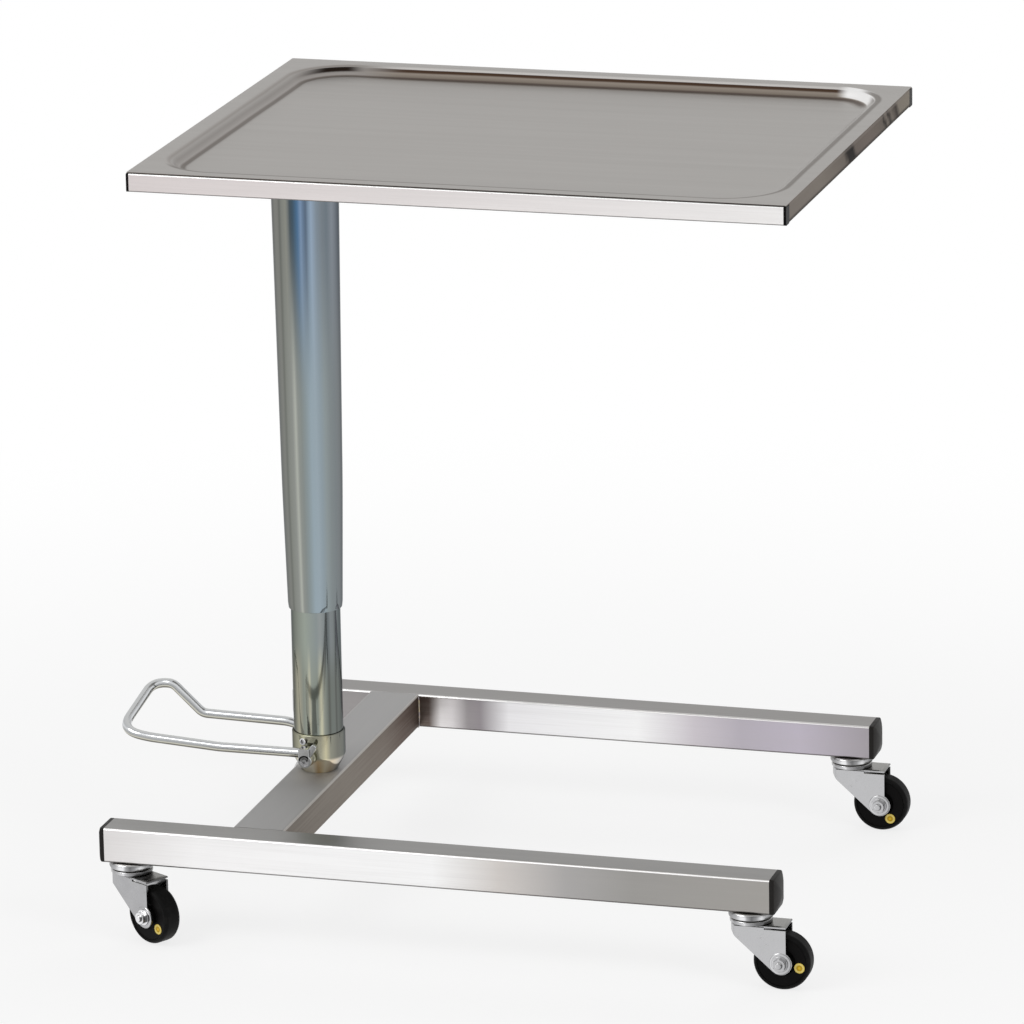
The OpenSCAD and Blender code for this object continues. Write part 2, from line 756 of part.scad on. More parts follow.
// Plastic bush inside the cover tube's lower end, running on the lower tube
module guide_bush() {
    color(BLACK) on_column() translate([0, 0, cover_foot_z]) difference() {
        cylinder(h = bush_h, r = cover_foot_r - cover_wall);
        translate([0, 0, -over]) cylinder(h = bush_h + 2 * over, r = lower_r + run_gap);
    }
}

// Boss under the head plate that turns on the ram's journal
module head_socket() {
    color(STEEL) on_column() translate([0, 0, socket_z]) difference() {
        cylinder(h = head_z - socket_z, r = head_socket_r);
        translate([0, 0, -over]) cylinder(h = head_z - socket_z + 2 * over, r = journal_r + run_gap);
    }
}

// Places on the head plate where it is bolted to the near cross bars
module at_head_bolts() {
    for (x = [-bar_near, bar_near], y = [-head_bolt_y, head_bolt_y])
        on_column() translate([x, y, head_z]) children();
}

module head_plate() {
    color(STEEL) difference() {
        on_column() translate([0, 0, head_z]) linear_extrude(head_t) round_rect(head_s, head_s, head_corner);
        at_head_bolts() translate([0, 0, -over]) cylinder(h = head_t + 2 * over, r = head_bolt_r + hole_gap);
    }
}

module head_bolts() {
    color(BRIGHT) at_head_bolts() {
        cylinder(h = head_t + bar_t, r = head_bolt_r);
        translate([0, 0, -head_bolt_head]) hex(head_bolt_af, head_bolt_head);
    }
}

// Flat bars from rail to rail that carry the tray and sit on the head plate
module cross_bars() {
    color(STEEL) difference() {
        for (x = [col_x - bar_near, col_x + bar_near, far_bar_x])
            placed() translate([x - bar_w / 2, top_y + rail_d, rail_z])
                cube([bar_w, top_d - 2 * rail_d, bar_t]);
        at_head_bolts() cylinder(h = head_t + bar_t + over, r = head_bolt_r);
    }
}

// One rail of the top with its outer face on the line y
module rail(y) {
    placed() translate([top_x + rail_cap_t, y + rail_d / 2, rail_z + rail_h / 2])
        box_tube(rail_l, rail_d, rail_h, rail_wall, rail_corner);
}

module front_rail() {
    color(STEEL) rail(top_y);
}

module rear_rail() {
    color(STEEL) rail(top_y + top_d - rail_d);
}

// Plastic cap of a rail with its plug towards +X
module rail_cap() {
    fit = 2 * (rail_wall + plug_gap);
    translate([-rail_cap_t, 0, 0]) rotate([90, 0, 90]) linear_extrude(rail_cap_t)
        round_rect(rail_d, rail_h, rail_corner);
    rotate([90, 0, 90]) linear_extrude(rail_plug_l)
        round_rect(rail_d - fit, rail_h - fit, rail_corner);
}

module rail_end_caps() {
    color(BLACK) placed() for (y = [rail_d / 2, top_d - rail_d / 2], side = [0, 1])
        translate([tray_cx, top_y + y, rail_z + rail_h / 2]) mirror([side, 0, 0])
            translate([-rail_l / 2, 0, 0]) rail_cap();
}

// Drawn dish with its rim at Z = 0: half sizes and corner radius at the rim, depth, and width of its wall.
// The same slopes are carried on above the rim by extra.
module dish(hx, hy, r, h, slope, extra = 0) {
    grow = slope * extra / h;
    rotate([90, 0, 0]) linear_extrude(2 * (hy - r), center = true)
        polygon([[-hx - grow, extra], [hx + grow, extra], [hx - slope, -h], [-hx + slope, -h]]);
    rotate([90, 0, 90]) linear_extrude(2 * (hx - r), center = true)
        polygon([[-hy - grow, extra], [hy + grow, extra], [hy - slope, -h], [-hy + slope, -h]]);
    for (x = [-1, 1], y = [-1, 1]) translate([x * (hx - r), y * (hy - r), -h])
        cylinder(h = h + extra, r1 = r - slope, r2 = r + grow);
}

// Sheet tray: a flat rim on the rails, a recess and a flange folded down at each side
module tray() {
    hx = top_l / 2 - rim_w;
    hy = top_d / 2 - rim_w;
    flange_l = top_d - 2 * rail_d - 2 * face_gap;
    color(STEEL) placed() translate([tray_cx, tray_cy, top_h]) difference() {
        union() {
            translate([-top_l / 2, -top_d / 2 + tray_set, -tray_t])
                cube([top_l, top_d - 2 * tray_set, tray_t]);
            dish(hx + tray_t, hy + tray_t, recess_r + tray_t, recess_h + tray_t, recess_slope);
            for (x = [-top_l / 2, top_l / 2 - tray_t])
                translate([x, -flange_l / 2, -flange_h]) cube([tray_t, flange_l, flange_h]);
        }
        dish(hx, hy, recess_r, recess_h, recess_slope, over);
    }
}

// Moves a piece to the pedal's shaft, at the middle of its length
module on_shaft() {
    on_column() translate([-shaft_out, 0, shaft_z]) children();
}

// Shaft through the housing, with a hexagon socket in each end
module pedal_shaft() {
    half = pedal_half_w + eye_w / 2;
    color(BRIGHT) on_shaft() rotate([90, 0, 0]) difference() {
        cylinder(h = 2 * half, r = shaft_r, center = true);
        for (side = [0, 1]) mirror([0, 0, side]) translate([0, 0, half - socket_depth])
            hex(socket_af, socket_depth + over);
    }
}

// Levers on both ends of the shaft, which carry the ends of the pedal's rod, and the front one's short arm
module pedal_levers() {
    color(BRIGHT) on_shaft() for (side = [FRONT, REAR]) translate([0, side, 0]) difference() {
        union() {
            rotate([90, 0, 0]) cylinder(h = eye_w, r = eye_r, center = true);
            translate([-lever_l, -eye_w / 2, 0]) cube([lever_l + rod_r, eye_w, lever_rise + rod_r + over]);
            if (side == FRONT) rotate([90, arm_lean, 0]) linear_extrude(arm_t, center = true) {
                translate([0, arm_l - arm_r]) circle(r = arm_r);
                translate([-arm_r, 0]) square([2 * arm_r, arm_l - arm_r]);
            }
        }
        rotate([90, 0, 0]) cylinder(h = eye_w + 2 * over, r = shaft_r, center = true);
    }
}

// Rod bent into a loop, its ends against the levers
module pedal_loop() {
    sides = [for (i = [0:last_ring - 1], k = [0:rod_sides - 1])
        let (a = i * rod_sides + k, b = i * rod_sides + (k + 1) % rod_sides)
            for (face = [[a, b, b + rod_sides], [a, b + rod_sides, a + rod_sides]]) face];
    near_end = [for (k = [1:rod_sides - 2]) [0, k + 1, k]];
    far_end = [for (face = near_end) [for (k = [2:-1:0]) last_ring * rod_sides + face[k]]];
    color(BRIGHT) on_shaft()
        polyhedron(points = SKIN, faces = concat(sides, near_end, far_end), convexity = 6);
}

front_beam();
rear_beam();
cross_beam();
beam_end_caps();
castor_heads();
castor_stems();
pump_housing();
foot_bolt();
valve_screw();
lower_tube();
cylinder_tube();  // cylinder
gland();
ram();
thrust_washer();
cover_tube();
guide_bush();
head_socket();
head_plate();
head_bolts();
cross_bars();
front_rail();
rear_rail();
rail_end_caps();
tray();
pedal_shaft();
pedal_levers();
pedal_loop();
fork(FRONT_LEFT);  // fork_fl
axle(FRONT_LEFT);  // axle_fl
hub(FRONT_LEFT);  // hub_fl
tyre(FRONT_LEFT);  // tyre_fl
marker(FRONT_LEFT);  // marker_fl
fork(FRONT_RIGHT);  // fork_fr
axle(FRONT_RIGHT);  // axle_fr
hub(FRONT_RIGHT);  // hub_fr
tyre(FRONT_RIGHT);  // tyre_fr
marker(FRONT_RIGHT);  // marker_fr
fork(REAR_LEFT);  // fork_rl
axle(REAR_LEFT);  // axle_rl
hub(REAR_LEFT);  // hub_rl
tyre(REAR_LEFT);  // tyre_rl
marker(REAR_LEFT);  // marker_rl
fork(REAR_RIGHT);  // fork_rr
axle(REAR_RIGHT);  // axle_rr
hub(REAR_RIGHT);  // hub_rr
tyre(REAR_RIGHT);  // tyre_rr
marker(REAR_RIGHT);  // marker_rr
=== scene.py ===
"""Mayo table: a stainless tray on a chromed telescopic column with a foot pump, on a base with castors."""
import json
import bmesh
import bpy
import numpy as np
from mathutils import Euler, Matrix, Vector


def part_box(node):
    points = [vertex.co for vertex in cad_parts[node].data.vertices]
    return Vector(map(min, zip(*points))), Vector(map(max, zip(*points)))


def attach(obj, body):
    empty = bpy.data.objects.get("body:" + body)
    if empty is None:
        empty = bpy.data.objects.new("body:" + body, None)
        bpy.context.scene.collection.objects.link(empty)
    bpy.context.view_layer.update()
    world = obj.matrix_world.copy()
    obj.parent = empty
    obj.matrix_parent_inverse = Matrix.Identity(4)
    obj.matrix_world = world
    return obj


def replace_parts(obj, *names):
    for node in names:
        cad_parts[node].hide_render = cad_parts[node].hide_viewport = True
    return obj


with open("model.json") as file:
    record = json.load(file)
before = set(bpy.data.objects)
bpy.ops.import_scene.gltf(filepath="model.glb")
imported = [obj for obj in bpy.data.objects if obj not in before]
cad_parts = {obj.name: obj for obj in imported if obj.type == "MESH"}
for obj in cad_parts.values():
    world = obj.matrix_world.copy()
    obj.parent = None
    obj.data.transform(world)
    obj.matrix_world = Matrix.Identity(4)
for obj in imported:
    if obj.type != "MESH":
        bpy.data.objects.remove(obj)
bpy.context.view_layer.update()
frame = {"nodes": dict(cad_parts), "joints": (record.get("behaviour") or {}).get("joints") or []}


# Photographer's view.
# A long lens looks down on the table from the front right, and the lens has no shift.
lens = bpy.data.cameras.new("long lens")
lens.lens, lens.sensor_width, lens.clip_end = 245.5, 36.0, 60.0
camera = bpy.data.objects.new("camera", lens)
camera.location = 2.1467, -7.1949, 2.5999
camera.rotation_euler = Euler(np.radians((73.92, 0.967, 16.18)))
bpy.context.scene.collection.objects.link(camera)
bpy.context.scene.camera = camera
bpy.context.scene.view_settings.view_transform = "Standard"


# White studio.
# Soft light comes from all round, and from a large box high on the left. The boxes behind and on the right
# only fill the shadows: metal doesn't mirror them. The camera sees a white room, and metal a darker one.
class Wire:
    """A node's output. Arithmetic on wires and numbers adds Math nodes."""

    def __init__(self, graph, socket):
        self.graph, self.socket = graph, socket

    def out(self, name):
        return Wire(self.graph, self.socket.node.outputs[name])

    def math(self, operation, first, second=0.0):
        return self.graph.add("Math", {0: first, 1: second}, operation=operation)

    def __add__(self, other):
        return self.math("ADD", self, other)

    def __sub__(self, other):
        return self.math("SUBTRACT", self, other)

    def __rsub__(self, other):
        return self.math("SUBTRACT", other, self)

    def __mul__(self, other):
        return self.math("MULTIPLY", self, other)

    def __truediv__(self, other):
        return self.math("DIVIDE", self, other)

    def __pow__(self, other):
        return self.math("POWER", self, other)

    def __abs__(self):
        return self.math("ABSOLUTE", self)

    __radd__, __rmul__ = __add__, __mul__

    def most(self, other):
        return self.math("MAXIMUM", self, other)

    def least(self, other):
        return self.math("MINIMUM", self, other)

    def over(self, low, high):
        """This number as a share of the way from low to high, kept between 0 and 1."""
        return self.graph.add("MapRange", {0: self, 1: low, 2: high}, interpolation_type="SMOOTHSTEP")


class Graph:
    """The nodes of one material or world."""

    def __init__(self, owner):
        owner.use_nodes = True
        self.owner, self.tree = owner, owner.node_tree
        self.tree.nodes.clear()

    def add(self, kind, sockets=(), out=0, stops=(), **settings):
        """Makes a node, sets its settings and a ramp's stops, then gives its sockets their values or
        wires."""
        node = self.tree.nodes.new("ShaderNode" + kind)
        for name, value in settings.items():
            setattr(node, name, value)
        for place, (position, colour) in enumerate(stops):
            line = node.color_ramp.elements
            stop = line[place] if place < 2 else line.new(position)
            stop.position, stop.color = position, (*colour, 1.0)
        for name, value in dict(sockets).items():
            if isinstance(value, Wire):
                self.tree.links.new(value.socket, node.inputs[name])
            else:
                node.inputs[name].default_value = value
        return Wire(self, node.outputs[out]) if len(node.outputs) else None

    def mix(self, share, one, other):
        """The colour one, changed towards the colour other by share."""
        one, other = (c if isinstance(c, Wire) else (*c, 1.0) for c in (one, other))
        return self.add("Mix", {0: share, 6: one, 7: other}, 2, data_type="RGBA")

    def spot(self, axis=None):
        """Where a point lies on the object, in metres: all three numbers, or the one along an axis."""
        place = self.add("TexCoord", out="Object")
        return self.add("SeparateXYZ", {0: place}, axis) if axis else place

    def noise(self, scale, detail=2.0, roughness=0.5, place=None):
        """Cloudy noise over the object, about scale clouds to the metre."""
        return self.add("TexNoise", {
            "Vector": place or self.spot(), "Scale": scale, "Detail": detail, "Roughness": roughness})

    def bump(self, height, strength, distance):
        """Relief from a height, distance metres deep at full strength."""
        return self.add("Bump", {"Strength": strength, "Distance": distance, "Height": height})

    def surface(self, sockets):
        """Ends a material with one shader and gives the material."""
        self.add("OutputMaterial", {0: self.add("BsdfPrincipled", sockets)})
        return self.owner

    def seen(self):
        """1 for what the camera, a mirror or glass sees, and 0 for light that falls on dull surfaces."""
        path = self.add("LightPath")
        return path.out("Is Camera Ray").most(path.out("Is Glossy Ray")).most(path.out("Is Transmission Ray"))


room = bpy.data.worlds.new("white room")
bpy.context.scene.world = room
graph = Graph(room)
fill, mirrored = 0.44, 0.80
glow = graph.seen() * (mirrored - fill) + graph.add("LightPath", out="Is Camera Ray") * (1 - mirrored) + fill
graph.add("OutputWorld", {0: graph.add("Background", {0: (1, 1, 1, 1), 1: glow})})

for name, place, size, power, aim in (
        ("large box", (-2.6, -2.6, 3.4), 2.4, 62, (0, 0, 0.4)),
        ("small box", (3.0, -1.6, 2.2), 1.4, 26, (0, 0, 0.3)),
        ("back box", (0.6, 3.4, 2.8), 2.0, 24, (0, 0, 0.5))):
    lamp = bpy.data.lights.new(name, "AREA")
    lamp.size, lamp.energy = size, power
    box = bpy.data.objects.new(name, lamp)
    box.location = place
    box.rotation_euler = (box.location - Vector(aim)).to_track_quat("Z", "Y").to_euler()
    box.visible_glossy = name == "large box"
    bpy.context.scene.collection.objects.link(box)


# Floor.
# A pale matt floor that keeps a soft shadow near the table and fades into the white of the room. Polished
# metal sees it as white.
def skin(name, finish, *sheets, angle=34.0):
    """One smooth mesh in its finish, from grids of points [row, column, xyz]. Each sheet is (points,
    ring_rows, ring_columns, ends): neighbours are joined by four-sided faces, a ring direction is also joined
    from its last line to its first, and ends closes the first and the last row with one face each. Edges
    sharper than angle stay sharp."""
    points, quads, lids, base = [], [], [], 0
    for grid, ring_rows, ring_columns, ends in sheets:
        rows, columns = grid.shape[:2]
        number = base + np.arange(rows * columns).reshape(rows, columns)
        number = np.vstack((number, number[:1])) if ring_rows else number
        number = np.hstack((number, number[:, :1])) if ring_columns else number
        four = number[:-1, :-1], number[1:, :-1], number[1:, 1:], number[:-1, 1:]
        quads.append(np.stack(four, -1).reshape(-1, 4))
        lids += [number[row, :columns].tolist() for row in (0, rows - 1) if ends]
        points.append(grid.reshape(-1, 3))
        base += rows * columns
    mesh = bpy.data.meshes.new(name)
    mesh.from_pydata(np.concatenate(points), [], np.concatenate(quads).tolist() + lids)
    mesh.materials.append(finish)
    shell = bmesh.new()
    shell.from_mesh(mesh)
    bmesh.ops.remove_doubles(shell, verts=shell.verts, dist=2e-6)
    bmesh.ops.dissolve_degenerate(shell, edges=shell.edges, dist=1e-6)
    bmesh.ops.recalc_face_normals(shell, faces=shell.faces)
    shell.to_mesh(mesh)
    shell.free()
    mesh.shade_smooth()
    mesh.set_sharp_from_angle(angle=np.radians(angle))
    piece = bpy.data.objects.new(name, mesh)
    bpy.context.scene.collection.objects.link(piece)
    return piece


graph = Graph(bpy.data.materials.new("floor paper"))
distance = (graph.spot("X") ** 2.0 + graph.spot("Y") ** 2.0) ** 0.5
shadow = graph.add("LightPath", out="Is Camera Ray") * (1 - distance.over(0.5, 2.0)) * 0.22
dull = graph.add("BsdfDiffuse", {"Color": (0.92, 0.92, 0.92, 1)})
graph.add("OutputMaterial", {0: graph.add("MixShader", {
    0: graph.seen() - shadow, 1: dull, 2: graph.add("Emission", {1: 1.0})})})
reach, turn = np.linspace(0.0, 9.0, 10)[:, None], np.linspace(0, 2 * np.pi, 97)[None, :-1]
disc = np.stack((reach * np.cos(turn), reach * np.sin(turn), 0 * reach * turn), -1)
floor = skin("floor", graph.owner, (disc, 0, 1, 0))


# Base beams.
# Two square stainless tubes with a brushed grain along them. The cross beam is a wider tube, welded between
# them, and carries the column. Their surfaces show the steel's fine grain and faint smears from polishing.
def shade(red, green, blue):
    """The light that a screen's colour of 0 to 255 stands for: ((c + 14) / 269) ^ 2.4."""
    return tuple(((c + 14.0) / 269.0) ** 2.4 for c in (red, green, blue))


def ramp(graph, place, stops):
    """Tones in a row over place: each stop is (position, red, green, blue), as a screen shows the colour."""
    return graph.add("ValToRGB", {0: place}, stops=[(position, shade(*tone)) for position, *tone in stops])


def grain(graph, way, wide, long, detail=3.0):
    """Noise drawn out along one axis: wide and long are the sizes of its streaks in metres."""
    scale = [1 / wide] * 3
    scale[way] = 1 / long
    return graph.noise(1.0, detail, 0.6, graph.add("Mapping", {0: graph.spot(), "Scale": scale}))


def brushed(name, way, dark, light, rough=0.3, painted_light=None, rim=1.0):
    """Brushed steel with its grain along one axis: colour and roughness follow fine streaks, broad streaks
    and soft clouds. The sixth argument, if given, paints reflections, highlights and shade into the colour
    over the piece, and rim dims what it mirrors when it is seen from the side."""
    graph = Graph(bpy.data.materials.new(name))
    fine, broad, cloud = grain(graph, way, 0.0009, 0.09), grain(graph, way, 0.012, 0.5, 2.0), graph.noise(9.0)
    tone = graph.mix(fine * 0.30 + broad * 0.45 + cloud * 0.25, shade(*dark), shade(*light))
    # The colour may carry painted reflections, highlights and shade from the sixth argument.
    return graph.surface({
        "Base Color": painted_light(graph, tone) if painted_light else tone, "Metallic": 1.0,
        "Roughness": rough - 0.05 + fine * 0.12 + cloud * 0.08, "Specular Tint": (rim, rim, rim, 1),
        "Normal": graph.bump(fine, 0.10, 0.0002)})


def dress(finish, slot, *nodes):
    """Gives solids of the frame their finish."""
    for node in nodes:
        solid = frame["nodes"][node]
        solid.data.materials.clear()
        solid.data.materials.append(finish)


def slant(graph, axis):
    """How far the surface faces along the axis, from -1 to 1."""
    return graph.add("SeparateXYZ", {0: graph.add("TexCoord", out="Normal")}, axis)


def painted_face_reflection(stops, node):
    """Painted reflection on a tube's front and rear faces: their tone along the tube, from stops between the
    tube's ends, with streaks, a painted highlight on the upper edge and painted shade on the lower edge."""
    (start, _, _), (end, _, _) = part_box(node)

    def painted_light(graph, tone):
        forward, upward = abs(slant(graph, "Y")), slant(graph, "Z")
        # Painted reflection: the front and rear faces take a tone that runs along the tube.
        face = ramp(graph, (graph.spot("X") - start) / (end - start), stops)
        streak = grain(graph, 0, 0.0015, 0.12) * 0.5 + grain(graph, 0, 0.010, 0.25, 2.0) * 0.5
        face = graph.mix(streak.over(0.35, 0.75) * 0.16, face, shade(178, 174, 172))
        tone = graph.mix(forward.over(0.45, 0.8), tone, face)
        # Painted highlight on the upper front edge, then painted shade on the lower one.
        tone = graph.mix((forward * upward).over(0.18, 0.42) * 0.9, tone, shade(250, 249, 248))
        return graph.mix((forward * upward * -1.0).over(0.10, 0.36) * 0.85, tone, shade(84, 80, 78))
    return painted_light


# Painted reflections along the beams' front and rear faces, from the left end to the right end.
front_face_reflection = painted_face_reflection((
    (0.00, 226, 223, 222), (0.14, 248, 247, 247), (0.50, 250, 250, 250), (0.60, 212, 207, 203),
    (0.70, 172, 170, 169), (0.80, 158, 156, 153), (1.00, 163, 160, 156)), "front_beam")
rear_face_reflection = painted_face_reflection((
    (0.00, 150, 147, 146), (0.13, 160, 156, 156), (0.20, 96, 84, 76), (0.235, 104, 92, 86),
    (0.255, 236, 233, 233), (0.275, 226, 222, 223), (0.302, 156, 151, 153), (0.325, 150, 144, 148),
    (0.375, 240, 239, 241), (0.60, 250, 250, 250), (0.70, 206, 200, 206), (0.78, 184, 178, 187),
    (0.88, 192, 185, 197), (1.00, 166, 160, 166)), "rear_beam")


def painted_cross_sides(graph, tone):
    """Painted shade on the cross beam's sides: brown-grey and darker towards the rear beam, with a painted
    highlight on their upper edges.
    """
    side, start, reach = abs(slant(graph, "X")), -0.25, 0.52
    # Painted shade: the sides darken towards the rear beam.
    flank = ramp(graph, (graph.spot("Y") - start) / reach, (
        (0.00, 108, 100, 91), (0.45, 124, 116, 106), (0.72, 116, 105, 95), (0.86, 92, 74, 63),
        (1.00, 76, 58, 48)))
    streak = grain(graph, 1, 0.002, 0.15).over(0.35, 0.75)
    tone = graph.mix(side.over(0.45, 0.8) * 0.95, tone, graph.mix(streak * 0.3, flank, shade(150, 143, 134)))
    # Painted highlight along the sides' upper edges.
    return graph.mix((side * slant(graph, "Z")).over(0.18, 0.42) * 0.7, tone, shade(205, 202, 198))


dress(brushed("brushed steel of the front beam", 0, (138, 136, 134), (166, 165, 163), 0.30, front_face_reflection),
      "stainless", "front_beam")
dress(brushed("brushed steel of the rear beam", 0, (138, 135, 133), (166, 164, 162), 0.30, rear_face_reflection),
      "stainless", "rear_beam")
dress(brushed("brushed steel of the cross beam", 1, (172, 171, 171), (186, 185, 184), 0.56, painted_cross_sides),
      "stainless", "cross_beam")


# Welds of the cross beam.
# A thin bead runs round each end of the cross beam where it meets the side of a beam. It is ground flush with
# the tops of the beams, and at the sides it keeps a faint tint from the heat.
tube_corner, bead_r, ripple, ripple_long = 0.003, 0.0013, 0.00025, 0.0024
strip_tall, strip_deep, strip_from, strip_over, sink, tuck = 0.0010, 0.0026, 0.0040, 0.0035, 0.0011, 0.0012
beam_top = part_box("cross_beam")[1][2]


def outline(half_x, half_y, radius, steps=8):
    """An anticlockwise rectangle with round corners: four quarter circles, joined by straight sides."""
    turn = np.linspace(0, np.pi / 2, steps + 1) + np.arange(4)[:, None] * np.pi / 2
    side = np.array(((1, 1), (-1, 1), (-1, -1), (1, -1)))[:, None]
    middle = side * (half_x - radius, half_y - radius)
    return (middle + radius * np.stack((np.cos(turn), np.sin(turn)), -1)).reshape(-1, 2)


def sized(node):
    """The middle of a solid's box, and half of its size."""
    low, high = (np.array(corner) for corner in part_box(node))
    return (low + high) / 2, (high - low) / 2


def weld(name, side):
    """A bead round the cross beam's front end (side 1) or rear end (side -1): its middle line is the tube's
    outline, and its radius ripples along it. Near the top the line sinks into the groove beside the beam, and
    the bead becomes a flat strip that fills it."""
    middle, half = sized("cross_beam")
    loop = outline(half[0], half[2], tube_corner, 6)
    step = np.linspace(0, 1, 12, endpoint=False)[:, None]
    loop = (loop[:, None] * (1 - step) + np.roll(loop, -1, 0)[:, None] * step).reshape(-1, 2)
    flush = np.clip((loop[:, 1] - half[2] + strip_from) / strip_over, 0, 1)[:, None]
    path = middle + np.stack((loop[:, 0], np.full(len(loop), -side * half[1]), loop[:, 1]), -1)
    path += flush * (0, -side * tuck, -sink)
    out = np.stack((loop[:, 0] / half[0] ** 2, 0 * loop[:, 0], loop[:, 1] / half[2] ** 2), -1)
    out /= np.linalg.norm(out, axis=1)[:, None]
    length = np.cumsum(np.linalg.norm(path - np.roll(path, 1, 0), axis=1))[:, None]
    bead = bead_r + ripple * np.sin(length * 2 * np.pi / ripple_long)
    tall, deep = bead + (strip_tall - bead) * flush, bead + (strip_deep - bead) * flush
    turn = np.linspace(0, 2 * np.pi, 10, endpoint=False)
    ring = (tall * np.cos(turn))[..., None] * out[:, None]
    ring = path[:, None] + ring + (deep * np.sin(turn))[..., None] * np.array((0, side, 0))
    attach(skin(name, heat, (ring, 1, 1, 0), angle=60), "base")


graph = Graph(bpy.data.materials.new("weld bead"))
tint = ramp(graph, graph.noise(55.0, 3.0), (
    (0.30, 160, 156, 150), (0.48, 188, 174, 146), (0.58, 150, 142, 146), (0.70, 170, 168, 166)))
tint = graph.mix(graph.spot("Z").over(beam_top - 0.003, beam_top - 0.0006), tint, shade(155, 153, 151))
heat = graph.surface({"Base Color": tint, "Metallic": 1.0, "Roughness": graph.noise(400.0) * 0.2 + 0.3})
weld("weld_front", 1)
weld("weld_rear", -1)


# Beam end caps.
# Each open end of a beam holds a moulded plastic cap: a low dome on a thick rim, on a plug with four walls.
# The plastic is black and satin, with small scuffs.
beam, wall, plug_gap, cap_corner = 0.040, 0.0015, 0.0001, 0.003
cap_edge, dome_r, lip = 0.0045, 0.068, 0.0009
plug_long, plug_bevel, plug_wall, plug_corner = 0.011, 0.001, 0.0019, 0.0015


def moulded(name, colour, rough, gloss=0.14):
    """Moulded plastic: a fine leathery bump, and scuffs that are paler and duller."""
    graph = Graph(bpy.data.materials.new(name))
    leather, scuff = graph.noise(900.0, 3.0), graph.noise(60.0, 6.0, 0.7).over(0.56, 0.74)
    return graph.surface({
        "Base Color": graph.mix(scuff * 0.6 + leather * 0.3, colour, tuple(c * 2.4 for c in colour)),
        "Roughness": leather * 0.10 + scuff * 0.14 + (rough - 0.06), "Specular IOR Level": gloss,
        "Normal": graph.bump(leather, 0.35, 0.00006)})


def stacked(rings, sign=1):
    """Rings of points across the X axis, each (place on the axis, outline). A place is one number or one for
    each point, and sign -1 faces the stack the other way."""
    grid = np.array([np.column_stack((np.broadcast_to(place, len(line)), line)) for place, line in rings])
    return grid * (sign, 1, 1)


def domed(line, drop=0.0):
    """A ring of the cap's face: over each point of the line, the height of a sphere that passes through the
    rim's four corners, less drop."""
    corner = (beam / 2 - cap_corner) * np.sqrt(2) + cap_corner
    height = np.sqrt(dome_r ** 2 - (line ** 2).sum(1)) - np.sqrt(dome_r ** 2 - corner ** 2)
    return cap_edge + height - drop, line


black = moulded("black moulded plastic", (0.012, 0.011, 0.010), 0.46)
half, plug = beam / 2, beam / 2 - wall - plug_gap
full, neck = outline(half, half, cap_corner), outline(plug, plug, plug_corner)
hollow = outline(plug - plug_wall, plug - plug_wall, 0.0008)
rings = [domed(full * share) for share in (0.02, 0.2, 0.4, 0.6, 0.75, 0.86, 0.94, 0.975)] + [
    domed(outline(half - 0.0002, half - 0.0002, cap_corner), 0.0003), domed(full, lip), (0.0, full),
    (0.0, neck), (plug_bevel - plug_long, neck), (-plug_long, outline(plug - 0.0007, plug - 0.0007, 0.0012)),
    (-plug_long, hollow), (-0.001, hollow)]
caps = []
for node in ("front_beam", "rear_beam"):
    middle, reach = sized(node)
    caps += [(stacked(rings, sign) + middle + (sign * reach[0], 0, 0), 0, 1, 1) for sign in (-1, 1)]
cap = skin("beam_caps", black, *caps)
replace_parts(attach(cap, "base"), "beam_end_caps")


# Castor heads.
# Under each beam end sits the fixed upper half of a ball race: a pressed, bright zinc-plated ring with a
# round rim. The king pin, its stem and the nut inside the beam hold it.
castor_top, head_r, head_h, pin_hole = 0.088, 0.025, 0.008, 0.0052
joints = {joint["name"]: joint for joint in frame["joints"]}
corners = {"fl": "front_left", "fr": "front_right", "rl": "rear_left", "rr": "rear_right"}
swivels = {key: np.array(joints[word + "_swivel"]["pos_m"][:2]) for key, word in corners.items()}
axles = {key: np.array(joints[word + "_wheel_spin"]["pos_m"]) for key, word in corners.items()}


def turned(profile, centre, axis=(0, 0, 1), count=64):
    """A profile of (height, radius) turned about an axis through centre: centre + height * axis + radius *
    (cos, sin) in the two directions square to the axis. Rows run along the profile."""
    axis = np.array(axis, float) / np.linalg.norm(axis)
    first = np.cross(axis, (0, 0, 1.0) if abs(axis[2]) < 0.9 else (0, 1.0, 0))
    first /= np.linalg.norm(first)
    second = np.cross(axis, first)
    turn = np.linspace(0, 2 * np.pi, count, endpoint=False)
    spoke = np.cos(turn)[:, None] * first + np.sin(turn)[:, None] * second
    height, radius = np.array(profile, float).T
    return np.array(centre) + height[:, None, None] * axis + radius[:, None, None] * spoke


def eased(corners, radius, steps=5, ring=False, share=0.45):
    """A line with its corners rounded off: each corner becomes the curve a(1-t)^2 + 2ct(1-t) + bt^2 between
    points at the radius before and after it, or at a share of a side that is shorter."""
    corners = np.array(corners, float)
    before, after = np.roll(corners, 1, 0), np.roll(corners, -1, 0)
    radius = np.broadcast_to(np.array(radius, float), len(corners)).copy()
    if not ring:
        before[0], after[-1] = corners[0] + 1e-3, corners[-1] + 1e-3
        radius[0] = radius[-1] = 0
    back, forth = before - corners, after - corners
    long_back, long_forth = (np.linalg.norm(side, axis=1)[:, None] for side in (back, forth))
    reach = np.minimum(radius[:, None], share * np.minimum(long_back, long_forth))
    start, end = corners + back / long_back * reach, corners + forth / long_forth * reach
    t = np.linspace(0, 1, steps)[None, :, None]
    line = start[:, None] * (1 - t) ** 2 + corners[:, None] * 2 * t * (1 - t) + end[:, None] * t ** 2
    line = line.reshape(-1, corners.shape[1])
    keep = np.ones(len(line), bool)
    keep[1:] = np.linalg.norm(np.diff(line, axis=0), axis=1) > 1e-7
    return line[keep]


